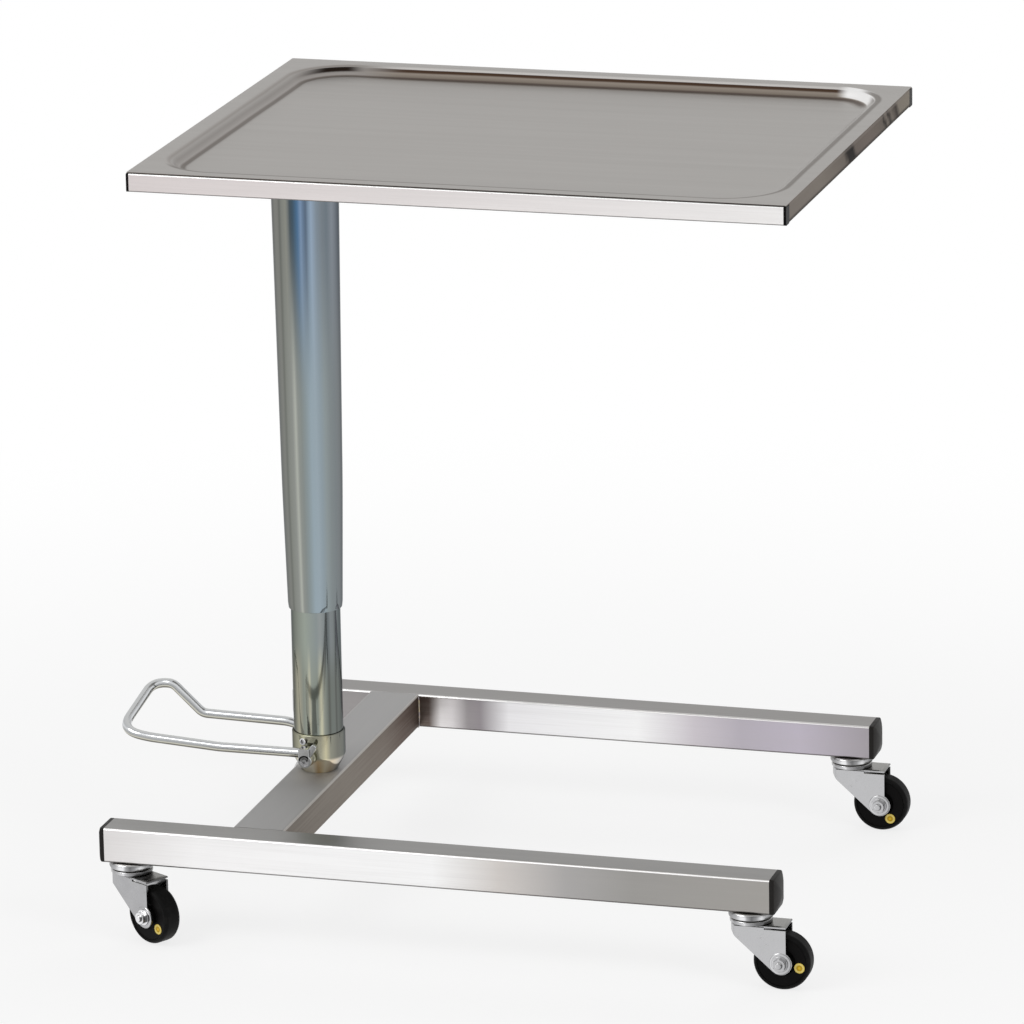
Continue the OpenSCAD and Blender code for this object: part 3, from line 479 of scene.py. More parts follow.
def plated(name, dark, light, rough, painted_side_reflections, painted_top_reflection):
    """Bright zinc: a neutral grey with fine crystals, cloudy patches and a little dirt. Faces that look up are
    painted lighter and faces that look down get painted shade. The fifth argument gives the painted highlights
    and reflections on upright faces, from those that face left to those that face right, and the last one the
    painted reflection on faces that look up."""
    graph = Graph(bpy.data.materials.new(name))
    crystal = graph.add("TexVoronoi", {"Vector": graph.spot(), "Scale": 700.0})
    cloud, stain = graph.noise(45.0, 4.0, 0.6), graph.noise(160.0, 4.0).over(0.60, 0.78)
    right, up = slant(graph, "X"), slant(graph, "Z")
    # Painted light: faces that look up are lighter.
    tone = graph.mix(cloud.over(0.30, 0.70) * 0.45 + crystal * 0.15 + up.over(-0.4, 0.9) * 0.4,
                     shade(*dark), shade(*light))
    tone = graph.mix(stain * 0.35, tone, shade(118, 112, 104))
    # Painted highlights and reflections on upright faces, by the way they face.
    band = ramp(graph, right * 0.5 + (cloud - 0.5) * 0.06 + 0.5, [
        (position, level, level, level + 2) for position, level in painted_side_reflections])
    tone = graph.mix((1.0 - abs(up).over(0.35, 0.85)) * (0.85 - stain * 0.25), tone, band)
    # Painted reflection on faces that look up.
    tone = graph.mix(up.over(0.75, 0.95) * (cloud * 0.5 + 0.4), tone, shade(*painted_top_reflection))
    # Painted shade on faces that look down.
    tone = graph.mix((up * -1.0).over(0.2, 0.8) * 0.7, tone, shade(80, 76, 73))
    return graph.surface({
        "Base Color": tone, "Metallic": 1.0, "Roughness": cloud * 0.14 + stain * 0.12 + (rough - 0.07),
        "Normal": graph.bump(crystal, 0.12, 0.0001)})


# The tones by facing are painted highlights and reflections, and the last tone is a painted reflection on top.
zinc = plated("zinc plate", (136, 136, 135), (226, 226, 225), 0.20, (
    (0.05, 84), (0.15, 136), (0.28, 180), (0.38, 247), (0.46, 250), (0.52, 168), (0.62, 96), (0.72, 142),
    (0.82, 228), (0.90, 168), (1.00, 76)), (150, 148, 144))
head = eased(((0, pin_hole), (0, head_r - 0.006), (0.0002, head_r), (head_h, head_r), (head_h, pin_hole)),
             (0, 0.002, 0.0042, 0.0042, 0))
heads = skin("castor_top_races", zinc, *(
    (turned(head, (*swivels[key], castor_top - head_h)), 1, 1, 0) for key in corners))
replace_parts(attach(heads, "base"), "castor_heads")
dress(zinc, "zinc", "castor_stems")


# Castor forks.
# The fork is one piece of pressed sheet: two cheeks joined by a round nose and a flat top, with the turning
# half of the ball race on it. A slot parts the cheeks from the flange behind the race, and a round pad
# strengthens each cheek at the axle. It is plated like the race.
fork_top, sheet_t, nose_r, nose_lip = 0.074, 0.0025, 0.022, 0.008
cheek, tail, slot_at, slot_h = 0.016, 0.042, 0.018, 0.0016
trail, axle_z, pad_r, bolt_hole = 0.036, 0.032, 0.013, 0.0041
race_r, race_h = 0.0235, 0.0057


def stand(points, key):
    """Turns a castor's own points (back, left, up) to its heading and moves them to its swivel axis."""
    way = axles[key][:2] - swivels[key]
    way = way / np.linalg.norm(way)
    x = points[..., 0] * way[0] - points[..., 1] * way[1] + swivels[key][0]
    y = points[..., 0] * way[1] + points[..., 1] * way[0] + swivels[key][1]
    return np.stack((x, y, points[..., 2]), -1)


def cheeks():
    """The cheeks and the nose: a line from one tail round the nose to the other tail, seen from above,
    carries a section that is one sheet thick. Its lower edge falls from the nose to the pad in a straight
    line and goes round the pad; its upper edge is the fork's top, or lies under the slot behind the race."""
    bend = np.arcsin(cheek / nose_r)
    back = np.concatenate((
        trail + pad_r - np.array((0.0001, 0.0010, 0.0030, 0.0050, 0.0069)),
        np.linspace(tail, slot_at + 1e-5, 14), np.linspace(slot_at, -nose_r * np.cos(bend), 16)))
    turn = np.linspace(np.pi - bend, np.pi + bend, 25)[1:-1]
    x = np.concatenate((back, nose_r * np.cos(turn), back[::-1]))
    y = np.concatenate((np.full(len(back), cheek), nose_r * np.sin(turn), np.full(len(back), -cheek)))
    way = np.gradient(np.stack((x, y), -1), axis=0)
    way /= np.linalg.norm(way, axis=1)[:, None]
    inside = np.stack((-way[:, 1], way[:, 0]), -1)
    edge, nose_z = pad_r * np.sqrt(0.5), fork_top - nose_lip
    fall = nose_z + (x + nose_r) * (axle_z - edge - nose_z) / (trail - edge + nose_r)
    pad = np.sqrt(np.maximum(pad_r ** 2 - (x - trail) ** 2, 0))
    low = np.where(x > trail - edge, axle_z - pad, fall)
    high = np.where(x > slot_at, fork_top - sheet_t - slot_h, fork_top - 0.0006)
    high = np.where(x > tail, axle_z + pad, high)
    soft = 0.0004
    depth = np.array((soft, 0, 0, soft, sheet_t - soft, sheet_t, sheet_t, sheet_t - soft))
    level = np.array((0, soft, -soft, 0, 0, -soft, soft, 0))
    upper = np.array((0, 0, 1, 1, 1, 1, 0, 0))
    level = level * np.minimum(1, (high - low)[:, None] / 0.003)
    height = np.where(upper, high[:, None], low[:, None]) + level
    plan = np.stack((x, y), -1)[:, None] + inside[:, None] * depth[None, :, None]
    return np.concatenate((plan, height[..., None]), -1)


def pad(side):
    """The round pad on a cheek, raised by a quarter of the sheet with a rounded edge."""
    outer = pad_r - 0.0002
    rise = eased(((-sheet_t * 0.5, bolt_hole), (0.0006, bolt_hole), (0.0006, outer - 0.0010),
                  (-0.0006, outer), (-sheet_t * 0.5, outer)), 0.0008)
    return turned(rise, (trail, side * cheek, axle_z), (0, side, 0), 56)


plate = []
for level, inset in ((-sheet_t, 0.004), (-sheet_t, 0.0006), (-sheet_t + 0.0005, 0), (-0.0012, 0),
                     (-0.0004, 0.0004), (0, 0.0014), (0, 0.004)):
    bend = np.arcsin((cheek - inset) / (nose_r - inset))
    turn = np.linspace(np.pi - bend, np.pi + bend, 33)
    rear = np.array(((tail - inset, -cheek + inset), (tail - inset, cheek - inset)))
    plan = np.concatenate(((nose_r - inset) * np.stack((np.cos(turn), np.sin(turn)), -1), rear))
    plate.append(np.column_stack((plan, np.full(len(plan), fork_top + level))))
race = eased(((0, pin_hole), (0, race_r - 0.003), (0.0006, race_r), (race_h - 0.0007, race_r),
              (race_h, race_r - 0.0035), (race_h, pin_hole)), (0, 0.002, 0.002, 0.002, 0.002, 0))
# The tones by facing are painted highlights and reflections, and the last tone is a painted reflection on top.
fork_zinc = plated("zinc plate of the forks", (140, 140, 140), (214, 214, 213), 0.22, (
    (0.02, 132), (0.10, 186), (0.20, 162), (0.26, 176), (0.36, 204), (0.46, 236), (0.49, 196), (0.51, 188),
    (0.60, 150), (0.75, 88), (1.00, 70)), (112, 110, 104))
for key in corners:
    sheets = [(stand(grid, key), 0, 1, ends) for grid, ends in (
        (cheeks(), 1), (np.array(plate), 1), (pad(1), 0), (pad(-1), 0))]
    sheets.append((stand(turned(race, (0, 0, fork_top)), key), 1, 1, 0))
    fork = skin("castor_fork_" + key, fork_zinc, *sheets, angle=40)
    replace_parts(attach(fork, "castor_" + key), "fork_" + key)


# Axle bolts.
# A plated bolt goes through both cheeks and the wheel. Its head and its nut are chamfered hexagons on plain
# washers, and the bolt's end shows past the nut.
washer_r, washer_t, bolt_r, bolt_end, nut_flats, nut_h = 0.009, 0.0016, 0.004, 0.0248, 0.013, 0.005


def on_axle(key, profile, side=1, count=64):
    """A profile turned about a castor's axle. Its heights count from the wheel's middle to one side."""
    return stand(turned(profile, (trail, 0, axle_z), (0, side, 0), count), key)


def hexagon(flats, start, height, centre, axis, count=72):
    """A hexagon with both ends chamfered: at angle a the radius is half the flats / cos(a from the flat's
    middle), and on the end faces it is no more than the chamfer circle's."""
    turn = np.linspace(0, 2 * np.pi, count, endpoint=False)
    full = flats / 2 / np.cos((turn + np.pi / 6) % (np.pi / 3) - np.pi / 6)
    face = np.minimum(full, flats / 2 * 1.02)
    rows = ((start, face * 0.5), (start, face), (start + 0.0008, full), (start + height - 0.0008, full),
            (start + height, face), (start + height, face * 0.5))
    line = turned([(place, 1.0) for place, _ in rows], centre, axis, count)
    middle = line.mean(axis=1, keepdims=True)
    return middle + (line - middle) * np.array([radius for _, radius in rows])[..., None]


# The tones by facing are painted highlights and reflections, and the last tone is a painted reflection on top.
bolt_zinc = plated("zinc plate of the bolts", (168, 168, 168), (226, 226, 226), 0.18, (
    (0.00, 150), (0.12, 226), (0.30, 240), (0.42, 206), (0.50, 186), (0.58, 96), (0.72, 40), (0.88, 44),
    (1.00, 60)), (196, 196, 196))
outside = cheek + washer_t
washer = eased(((cheek, bolt_hole), (cheek, washer_r), (outside, washer_r), (outside, bolt_hole)),
               (0, 0.0004, 0.0006, 0))
pin = eased(((-bolt_end, 0.0006), (-bolt_end, bolt_r - 0.0008), (0.001 - bolt_end, bolt_r),
             (cheek + 0.004, bolt_r), (cheek + 0.004, 0.0006)), (0, 0.0004, 0.0004, 0, 0))
for key in corners:
    sheets = []
    for side in (1, -1):
        nut = hexagon(nut_flats, outside, nut_h, (trail, 0, axle_z), (0, side, 0))
        sheets += [(on_axle(key, washer, side), 1, 1, 0), (stand(nut, key), 0, 1, 1)]
    sheets.append((on_axle(key, pin, 1, 40), 0, 1, 1))
    bolt = skin("castor_axle_" + key, bolt_zinc, *sheets)
    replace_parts(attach(bolt, "castor_" + key), "axle_" + key)


# Wheels.
# The wheel body is black plastic: a rim, a sunk face with a soft step, and a boss round the axle. The tyre is
# black rubber with rounded shoulders, moulded onto the rim, and it has grey dust on its tread.
face_y, rim_y, boss_y, tread_y, sunk = 0.010, 0.0102, 0.0132, 0.011, 0.0012
hub_r, boss_r, wheel_r, step_r, rim_r = 0.0275, 0.008, 0.032, 0.0135, 0.0262
wheel_plastic = moulded("wheel plastic", (0.0035, 0.0032, 0.0032), 0.42, 0.06)
graph = Graph(bpy.data.materials.new("tyre rubber"))
dust = graph.noise(90.0, 5.0, 0.7).over(0.45, 0.75)
rubber = graph.surface({
    "Base Color": graph.mix(dust * 0.6, (0.004, 0.004, 0.004), (0.020, 0.019, 0.018)),
    "Roughness": dust * 0.2 + 0.5, "Specular IOR Level": 0.08,
    "Normal": graph.bump(graph.noise(1500.0), 0.4, 0.0001)})


def both_sides(half):
    """A wheel's whole profile: the half, and then the half backwards with its heights mirrored."""
    return np.concatenate((half[1:], half[::-1][1:] * (-1, 1)))


disc = both_sides(eased(
    ((0, bolt_hole), (boss_y, bolt_hole), (boss_y, boss_r), (face_y - 0.0008, boss_r + 0.0008),
     (face_y - sunk, step_r), (face_y, step_r + 0.0015), (face_y, rim_r - 0.0007), (rim_y, rim_r),
     (rim_y, hub_r - 0.0002), (0, hub_r - 0.0002)),
    (0, 0.0003, 0.0006, 0.0008, 0.001, 0.001, 0.0004, 0.0004, 0.0004, 0)))
tread = both_sides(eased(
    ((0, hub_r), (tread_y - 0.0004, hub_r), (tread_y, hub_r + 0.0006), (tread_y, wheel_r - 0.0022),
     (tread_y - 0.0030, wheel_r), (0, wheel_r)), (0, 0.0003, 0.0005, 0.0018, 0.0018, 0), 7))
for key in corners:
    body = skin("wheel_body_" + key, wheel_plastic, (on_axle(key, disc, 1, 96), 1, 1, 0))
    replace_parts(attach(body, "wheel_" + key), "hub_" + key)
    tyre = skin("wheel_tyre_" + key, rubber, (on_axle(key, tread, 1, 112), 1, 1, 0))
    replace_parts(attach(tyre, "wheel_" + key), "tyre_" + key)


# Wheel markers.
# A round plastic plug sits in the front face of each wheel: bright yellow at its rim and a deeper gold in its
# slightly hollow middle. Its pattern follows the plug's own map, whose first number is the radius.
marker_r, marker_deep, marker_proud = 0.006, 0.0005, 0.0007
graph = Graph(bpy.data.materials.new("yellow plug"))
cloud = graph.noise(400.0, 3.0)
tone = graph.add("ValToRGB", {0: graph.add("SeparateXYZ", {0: graph.add("UVMap", uv_map="plug")})}, stops=(
    (0.00, (0.86, 0.60, 0.05)), (0.22, (0.84, 0.55, 0.03)), (0.36, (0.52, 0.30, 0.01)),
    (0.52, (0.66, 0.42, 0.02)), (0.66, (0.93, 0.78, 0.26)), (0.90, (0.90, 0.72, 0.18)),
    (1.00, (0.70, 0.48, 0.05))))
yellow = graph.surface({
    "Base Color": graph.mix(cloud.over(0.45, 0.75) * 0.3, tone, (0.66, 0.44, 0.05)),
    "Roughness": cloud * 0.12 + 0.34, "Specular IOR Level": 0.2})
button = eased(((-marker_deep, 0.0001), (-marker_deep, marker_r - 0.0001), (marker_proud, marker_r - 0.0001),
                (marker_proud - 0.00015, marker_r * 0.62), (marker_proud - 0.00025, 0.0001)),
               (0, 0.0002, 0.0004, 0.0008, 0), 6)
for key in corners:
    centre, _ = sized("marker_" + key)
    out = np.cross((axles[key] - (*swivels[key], axle_z)), (0, 0, 1.0))
    out /= np.linalg.norm(out)
    plug = skin("wheel_marker_" + key, yellow, (turned(button, centre, out, 40), 0, 1, 1))
    points = np.empty(len(plug.data.vertices) * 3)
    plug.data.vertices.foreach_get("co", points)
    loops = np.empty(len(plug.data.loops), int)
    plug.data.loops.foreach_get("vertex_index", loops)
    away = points.reshape(-1, 3) - centre
    share = np.linalg.norm(away - (away @ out)[:, None] * out, axis=1) / marker_r
    chart = plug.data.uv_layers.new(name="plug")
    chart.uv.foreach_set("vector", np.column_stack((share, share))[loops].ravel())
    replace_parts(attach(plug, "wheel_" + key), "marker_" + key)


# Pump housing.
# A chromed steel block, turned to the column's width, with a broad bevel at its foot and a boss on each side
# for the pedal's shaft. A bolt from below holds it on the cross beam, and its valve screw is in front.
housing_r, housing_foot, housing_top, bevel_top = 0.0302, 0.0207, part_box("lower_tube")[0][2], beam_top + 0.018
boss_end, boss_hole, shaft_boss = 0.0367, 0.0005, 0.009
axis = np.array(joints["top_swivel"]["pos_m"])
shaft = np.array(joints["pedal_press"]["pos_m"])


def chrome_with_painted_reflections(name, upper, lower, levels, rough=0.05):
    """Chrome plate on a round tube with painted reflections: its tone follows the angle about the column, and
    goes over from the lower stops to the upper ones between two levels. Fine drawn lines, faint marks and
    prints lie in its gloss, and painted shade darkens the tube where it turns away."""
    graph = Graph(bpy.data.materials.new(name))
    spot, wave = graph.spot("X"), graph.noise(3.0, 1.0) - 0.5
    angle = spot.math("ARCTAN2", spot.out("Y") - axis[1], spot - axis[0]) / (2 * np.pi) + 0.5 + wave * 0.006
    height = (spot.out("Z") + wave * 0.02).over(*levels)
    # Painted reflections: tones set by the angle about the column, lower and upper.
    tone = graph.mix(height, ramp(graph, angle, lower), ramp(graph, angle, upper))
    lines, mist = grain(graph, 2, 0.0006, 0.30), graph.noise(22.0, 4.0).over(0.5, 0.8)
    return graph.surface({
        "Base Color": graph.mix(lines * 0.12, tone, shade(164, 167, 165)), "Metallic": 1.0,
        "Roughness": mist * 0.07 + lines * 0.05 + rough, "Specular Tint": (0.45, 0.46, 0.47, 1),
        "Normal": graph.bump(lines, 0.05, 0.0001)})


# Painted reflections on the pump: olive bands with cream highlights above, and bright cream on the bevel.
pump_chrome = chrome_with_painted_reflections("chrome of the pump", (
    (0.00, 120, 120, 108), (0.055, 70, 64, 50), (0.09, 118, 116, 100), (0.15, 150, 149, 130),
    (0.19, 182, 180, 152), (0.23, 152, 152, 134), (0.31, 160, 158, 138), (0.34, 196, 190, 158),
    (0.37, 140, 140, 126), (0.42, 116, 116, 108), (0.48, 120, 122, 116), (0.55, 74, 74, 72),
    (0.75, 150, 152, 146), (1.00, 120, 120, 108)), (
    (0.00, 220, 215, 205), (0.055, 196, 186, 168), (0.12, 234, 228, 212), (0.17, 252, 244, 224),
    (0.20, 230, 224, 208), (0.25, 254, 248, 230), (0.29, 238, 208, 162), (0.34, 255, 246, 218),
    (0.38, 226, 210, 184), (0.46, 206, 202, 194), (0.55, 186, 184, 180), (0.75, 220, 218, 212),
    (1.00, 220, 215, 205)), (bevel_top - 0.005, bevel_top), 0.10)
body = eased(((beam_top, 0.0008), (beam_top, housing_foot), (bevel_top, housing_r),
              (housing_top - 0.0008, housing_r), (housing_top, housing_r - 0.0010), (housing_top, 0.0008)),
             (0, 0.0006, 0.002, 0.0006, 0.0006, 0))
boss = eased(((0, boss_hole), (boss_end, boss_hole), (boss_end, shaft_boss - 0.0012),
              (boss_end - 0.0012, shaft_boss), (0, shaft_boss)), (0, 0, 0.0003, 0.0006, 0))
housing = skin("pump_body", pump_chrome, (turned(body, (*axis[:2], 0), count=96), 0, 1, 1), *(
    (turned(boss[1:], shaft, (0, side, 0), 48), 0, 1, 1) for side in (1, -1)))
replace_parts(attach(housing, "base"), "pump_housing")
dress(bolt_zinc, "zinc", "foot_bolt", "valve_screw")


# Lower tube.
# The fixed chromed tube of the column, pushed over the housing's spigot. It holds the hydraulic cylinder of
# ground steel, which a bronze gland closes on top; the ram rises out of it.
lower_bore, lower_r, lower_top = 0.0261, 0.0281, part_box("lower_tube")[1][2]
# Painted reflections on the lower tube: grey-green bands with dark lines and cream highlights.
lower_chrome = chrome_with_painted_reflections("chrome of the lower tube", (
    (0.000, 110, 110, 102), (0.052, 84, 80, 72), (0.100, 108, 112, 105), (0.160, 126, 131, 122),
    (0.225, 148, 156, 146), (0.300, 134, 143, 143), (0.325, 142, 148, 148), (0.355, 126, 133, 134),
    (0.376, 94, 101, 103), (0.398, 124, 130, 132), (0.422, 118, 124, 125), (0.432, 96, 101, 102),
    (0.446, 113, 119, 121), (0.500, 102, 109, 109), (0.550, 78, 82, 82), (0.750, 160, 163, 160),
    (1.000, 110, 110, 102)), (
    (0.000, 110, 110, 102), (0.052, 72, 64, 52), (0.085, 116, 114, 101), (0.120, 124, 124, 112),
    (0.160, 166, 163, 143), (0.178, 150, 148, 132), (0.205, 130, 136, 127), (0.236, 150, 155, 142),
    (0.248, 192, 190, 168), (0.262, 140, 147, 138), (0.300, 134, 141, 132), (0.322, 196, 194, 168),
    (0.340, 140, 144, 134), (0.364, 110, 116, 110), (0.377, 84, 86, 81), (0.392, 108, 114, 109),
    (0.420, 108, 113, 109), (0.431, 82, 84, 80), (0.446, 106, 111, 107), (0.500, 102, 105, 101),
    (0.550, 78, 80, 78), (0.750, 160, 163, 160), (1.000, 110, 110, 102)),
    (housing_top + 0.055, housing_top + 0.115))
tube = eased(((housing_top, lower_bore), (housing_top, lower_r), (lower_top, lower_r),
              (lower_top, lower_bore)), 0.0003, ring=True)
lower = skin("column_lower", lower_chrome, (turned(tube, (*axis[:2], 0), count=128), 1, 1, 0))
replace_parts(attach(lower, "base"), "lower_tube")


def machined(name, dark, light, rough):
    """Turned and polished metal: fine rings across the column's axis, and a soft mottling."""
    graph = Graph(bpy.data.materials.new(name))
    height = graph.spot("Z") * 2500.0
    rings = graph.add("TexNoise", {"W": height, "Scale": 1.0, "Detail": 3.0}, noise_dimensions="1D")
    cloud = graph.noise(60.0, 3.0)
    return graph.surface({
        "Base Color": graph.mix(rings * 0.5 + cloud * 0.5, shade(*dark), shade(*light)), "Metallic": 1.0,
        "Roughness": rings * 0.12 + cloud * 0.08 + (rough - 0.1), "Normal": graph.bump(rings, 0.1, 0.0001)})


dress(machined("ground steel", (172, 174, 176), (210, 212, 214), 0.20), "ground_steel", "cylinder", "ram")
dress(machined("bronze", (164, 132, 86), (200, 168, 122), 0.30), "bearing_bronze", "gland", "thrust_washer")


# Cover tube.
# The wide chromed tube that hangs from the top and slides over the lower one. It tapers downwards, more
# steeply below a soft knee, and ends in a bevel round its plastic guide bush.
foot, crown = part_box("cover_tube")[0][2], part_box("cover_tube")[1][2]
knee, foot_r, knee_r, crown_r, wall = foot + 0.142, 0.0310, 0.0342, 0.0385, 0.0015
# Painted reflections on the cover tube: blue bands above and grey-green below, with dark lines and highlights.
cover_chrome = chrome_with_painted_reflections("chrome of the cover tube", (
    (0.000, 110, 114, 118), (0.050, 92, 90, 86), (0.085, 124, 123, 119), (0.118, 136, 136, 131),
    (0.146, 124, 124, 119), (0.160, 100, 102, 97), (0.176, 124, 126, 120), (0.200, 134, 135, 127),
    (0.212, 112, 116, 114), (0.223, 62, 74, 82), (0.240, 54, 78, 96), (0.262, 70, 108, 144),
    (0.276, 118, 143, 174), (0.288, 96, 118, 144), (0.300, 80, 98, 120), (0.313, 122, 143, 164),
    (0.325, 144, 163, 184), (0.350, 124, 137, 149), (0.378, 114, 123, 131), (0.405, 104, 115, 124),
    (0.438, 127, 134, 143), (0.490, 102, 108, 116), (0.540, 82, 86, 92), (0.600, 140, 146, 152),
    (0.650, 104, 110, 118), (0.690, 188, 192, 194), (0.740, 150, 156, 162), (0.790, 206, 208, 210),
    (0.840, 128, 134, 140), (0.890, 92, 100, 110), (0.940, 156, 160, 160), (1.000, 110, 114, 118)), (
    (0.000, 118, 120, 116), (0.050, 110, 112, 107), (0.100, 134, 135, 130), (0.140, 130, 131, 126),
    (0.158, 108, 111, 105), (0.172, 128, 131, 125), (0.205, 139, 142, 137), (0.222, 172, 175, 167),
    (0.236, 138, 142, 137), (0.255, 130, 137, 135), (0.276, 134, 146, 149), (0.302, 147, 163, 172),
    (0.328, 149, 164, 173), (0.352, 139, 153, 161), (0.378, 137, 147, 149), (0.406, 126, 134, 136),
    (0.440, 121, 128, 131), (0.487, 128, 132, 134), (0.540, 100, 102, 104), (0.600, 142, 146, 148),
    (0.650, 112, 116, 120), (0.690, 182, 186, 186), (0.740, 148, 152, 154), (0.790, 200, 202, 202),
    (0.840, 132, 136, 138), (0.890, 104, 108, 112), (0.940, 152, 155, 152), (1.000, 118, 120, 116)),
    (0.55, 0.79))
profile = eased((
    (foot, foot_r - wall), (foot, foot_r - 0.0007), (foot + 0.006, foot_r), (knee, knee_r), (crown, crown_r),
    (crown, crown_r - wall), (knee, knee_r - wall), (foot + 0.024, foot_r - 0.0014)),
    (0.0002, 0.0004, 0.0015, 0.03, 0, 0, 0.02, 0.002), 9, ring=True)
cover = skin("column_cover", cover_chrome, (turned(profile, (*axis[:2], 0), count=128), 1, 1, 0))
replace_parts(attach(cover, "head"), "cover_tube")
dress(black, "black_plastic", "guide_bush")


# Pedal.
# A chromed rod bent into a loop, welded with both ends to short levers on a shaft through the pump housing.
# Its near arm is level, its outer bar rises towards the far side, and its far arm bends down again. The front
# lever also carries a short flat arm. Painted reflections make the chrome bright above and dark below, with a
# warm stripe.
mm = 0.001
half_w, rod_r, eye_r, lever, rise = 43 * mm, 5.5 * mm, 8 * mm, 7.5 * mm, 8.5 * mm
reach, out, level, front_up, rear_up, lift, flat = (v * mm for v in (210, 11, 103, 11, 43, 10, 151))
step, lever_t, lever_w, lever_h, shaft_hole = 24 * mm, 6 * mm, 6.3 * mm, 7.3 * mm, 5 * mm
arm_r, arm_from, arm_to, arm_t, lean = 3.5 * mm, 6 * mm, 22 * mm, 3 * mm, np.radians(32)


def around(path, across, up, ring):
    """A ring of points (sideways, upwards) carried along a path: path + sideways * across + upwards * up."""
    return path[:, None] + ring[None, :, :1] * across[:, None] + ring[None, :, 1:] * up[:, None]


graph = Graph(bpy.data.materials.new("chrome of the pedal"))
cloud, scuff = graph.noise(30.0, 3.0), graph.noise(220.0, 4.0)
# Painted reflection: the tone follows how far the surface faces up, bright above and dark below.
tone = ramp(graph, slant(graph, "Z") * 0.5 + (cloud - 0.5) * 0.14 + 0.5, (
    (0.00, 104, 101, 95), (0.12, 78, 75, 70), (0.26, 126, 123, 114), (0.36, 212, 210, 196),
    (0.46, 160, 161, 160), (0.60, 182, 184, 186), (0.74, 236, 238, 240), (0.86, 196, 198, 200),
    (1.00, 214, 215, 214)))
pedal_chrome = graph.surface({
    "Base Color": graph.mix(scuff.over(0.55, 0.8) * 0.3, tone, shade(128, 124, 112)), "Metallic": 1.0,
    "Roughness": scuff * 0.08 + cloud * 0.06 + 0.08})

bends = np.array((
    (-lever, -half_w, rise), (-level, -half_w, rise), (-reach + step, -half_w, rise + front_up / 2),
    (-reach - out, -half_w, rise + front_up), (-reach, half_w, rise + rear_up),
    (-reach + step, half_w, rise + rear_up), (-flat, half_w, rise + lift),
    (-2 * step, half_w, rise + lift * 0.75), (-lever - step / 2, half_w, rise), (-lever, half_w, rise)))
path = eased(bends, np.array((0, 6, 6, 26, 17, 6, 6, 6, 6, 0)) * mm, 11, share=0.75) + shaft
way = np.gradient(path, axis=0)
way /= np.linalg.norm(way, axis=1)[:, None]
up = np.array((0, 0, 1.0)) - way * way[:, 2:]
up /= np.linalg.norm(up, axis=1)[:, None]
turn = np.linspace(0, 2 * np.pi, 24, endpoint=False)
rod = around(path, np.cross(up, way), up, rod_r * np.stack((np.cos(turn), np.sin(turn)), -1))
loop = skin("pedal_rod", pedal_chrome, (rod, 0, 1, 1), angle=50)
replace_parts(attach(loop, "pedal"), "pedal_loop")

eye = eased(((-lever_t, shaft_hole), (-lever_t, eye_r), (lever_t, eye_r), (lever_t, shaft_hole)),
            (0.0003, 0.0008, 0.0008, 0.0003), ring=True)
block = stacked([(place, outline(wide, lever_h, 0.0015) + ((rod_r - lever) / 2, lever)) for place, wide in (
    (-lever_t, lever_w - 0.0007), (0.0005 - lever_t, lever_w), (lever_t - 0.0005, lever_w),
    (lever_t, lever_w - 0.0007))])[..., (1, 0, 2)]
sheets = []
for side in (-1, 1):
    middle = shaft + (0, side * half_w, 0)
    sheets += [(turned(eye, middle, (0, 1, 0), 48), 1, 1, 0), (block + middle, 0, 1, 1)]
across, ahead = np.array((np.cos(lean), -np.sin(lean))), np.array((np.sin(lean), np.cos(lean)))
arm = []
for place, inset in ((-arm_t, 0.0005), (0.0005 - arm_t, 0), (arm_t - 0.0005, 0), (arm_t, 0.0005)):
    line = outline(arm_r - inset, (arm_to - arm_from) / 2 - inset, arm_r - inset - 1e-5)
    arm.append((place, line[:, :1] * across + (line[:, 1:] + (arm_from + arm_to) / 2) * ahead))
sheets.append((stacked(arm)[..., (1, 0, 2)] + shaft - (0, half_w, 0), 0, 1, 1))
levers = skin("pedal_lever_pair", pedal_chrome, *sheets)
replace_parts(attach(levers, "pedal"), "pedal_levers")
dress(bolt_zinc, "zinc", "pedal_shaft")


# Top frame.
# A steel plate on the cover tube carries three flat bars, bolted on, and the bars carry two rails of
# rectangular tube that hold the tray's long sides. Black plastic caps close the rails' ends.
rail_t, rail_corner, rail_inner = 0.0012, 0.0018, 0.0008
bar_steel = (150, 148, 146), (190, 188, 186)
# Painted reflections along the rails' faces: near white, whiter to the right, with the same painted edges.
rail_reflection_tones = (
    (0.00, 228, 220, 219), (0.35, 234, 228, 227), (0.70, 242, 238, 237), (1.00, 250, 248, 247))
for name, node, words in (
        ("rail_front", "front_rail", "front rail"), ("rail_back", "rear_rail", "rear rail")):
    middle, half = sized(node)
    outer = outline(half[1], half[2], rail_corner)
    inner = outline(half[1] - rail_t, half[2] - rail_t, rail_inner)
    rings = [(-half[0], inner), (-half[0], outer), (half[0], outer), (half[0], inner)]
    steel = brushed("brushed steel of the " + words, 0, *bar_steel, 0.28, painted_face_reflection(rail_reflection_tones, node))
    rail = skin(name, steel, (stacked(rings) + middle, 1, 1, 0), angle=50)
    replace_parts(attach(rail, "head"), node)
dress(wheel_plastic, "black_plastic", "rail_end_caps")
dress(brushed("steel of the cross bars", 1, *bar_steel, 0.34), "stainless", "cross_bars")
dress(brushed("steel of the head plate", 0, *bar_steel, 0.34), "stainless", "head_plate", "head_socket")
dress(bolt_zinc, "zinc", "head_bolts")


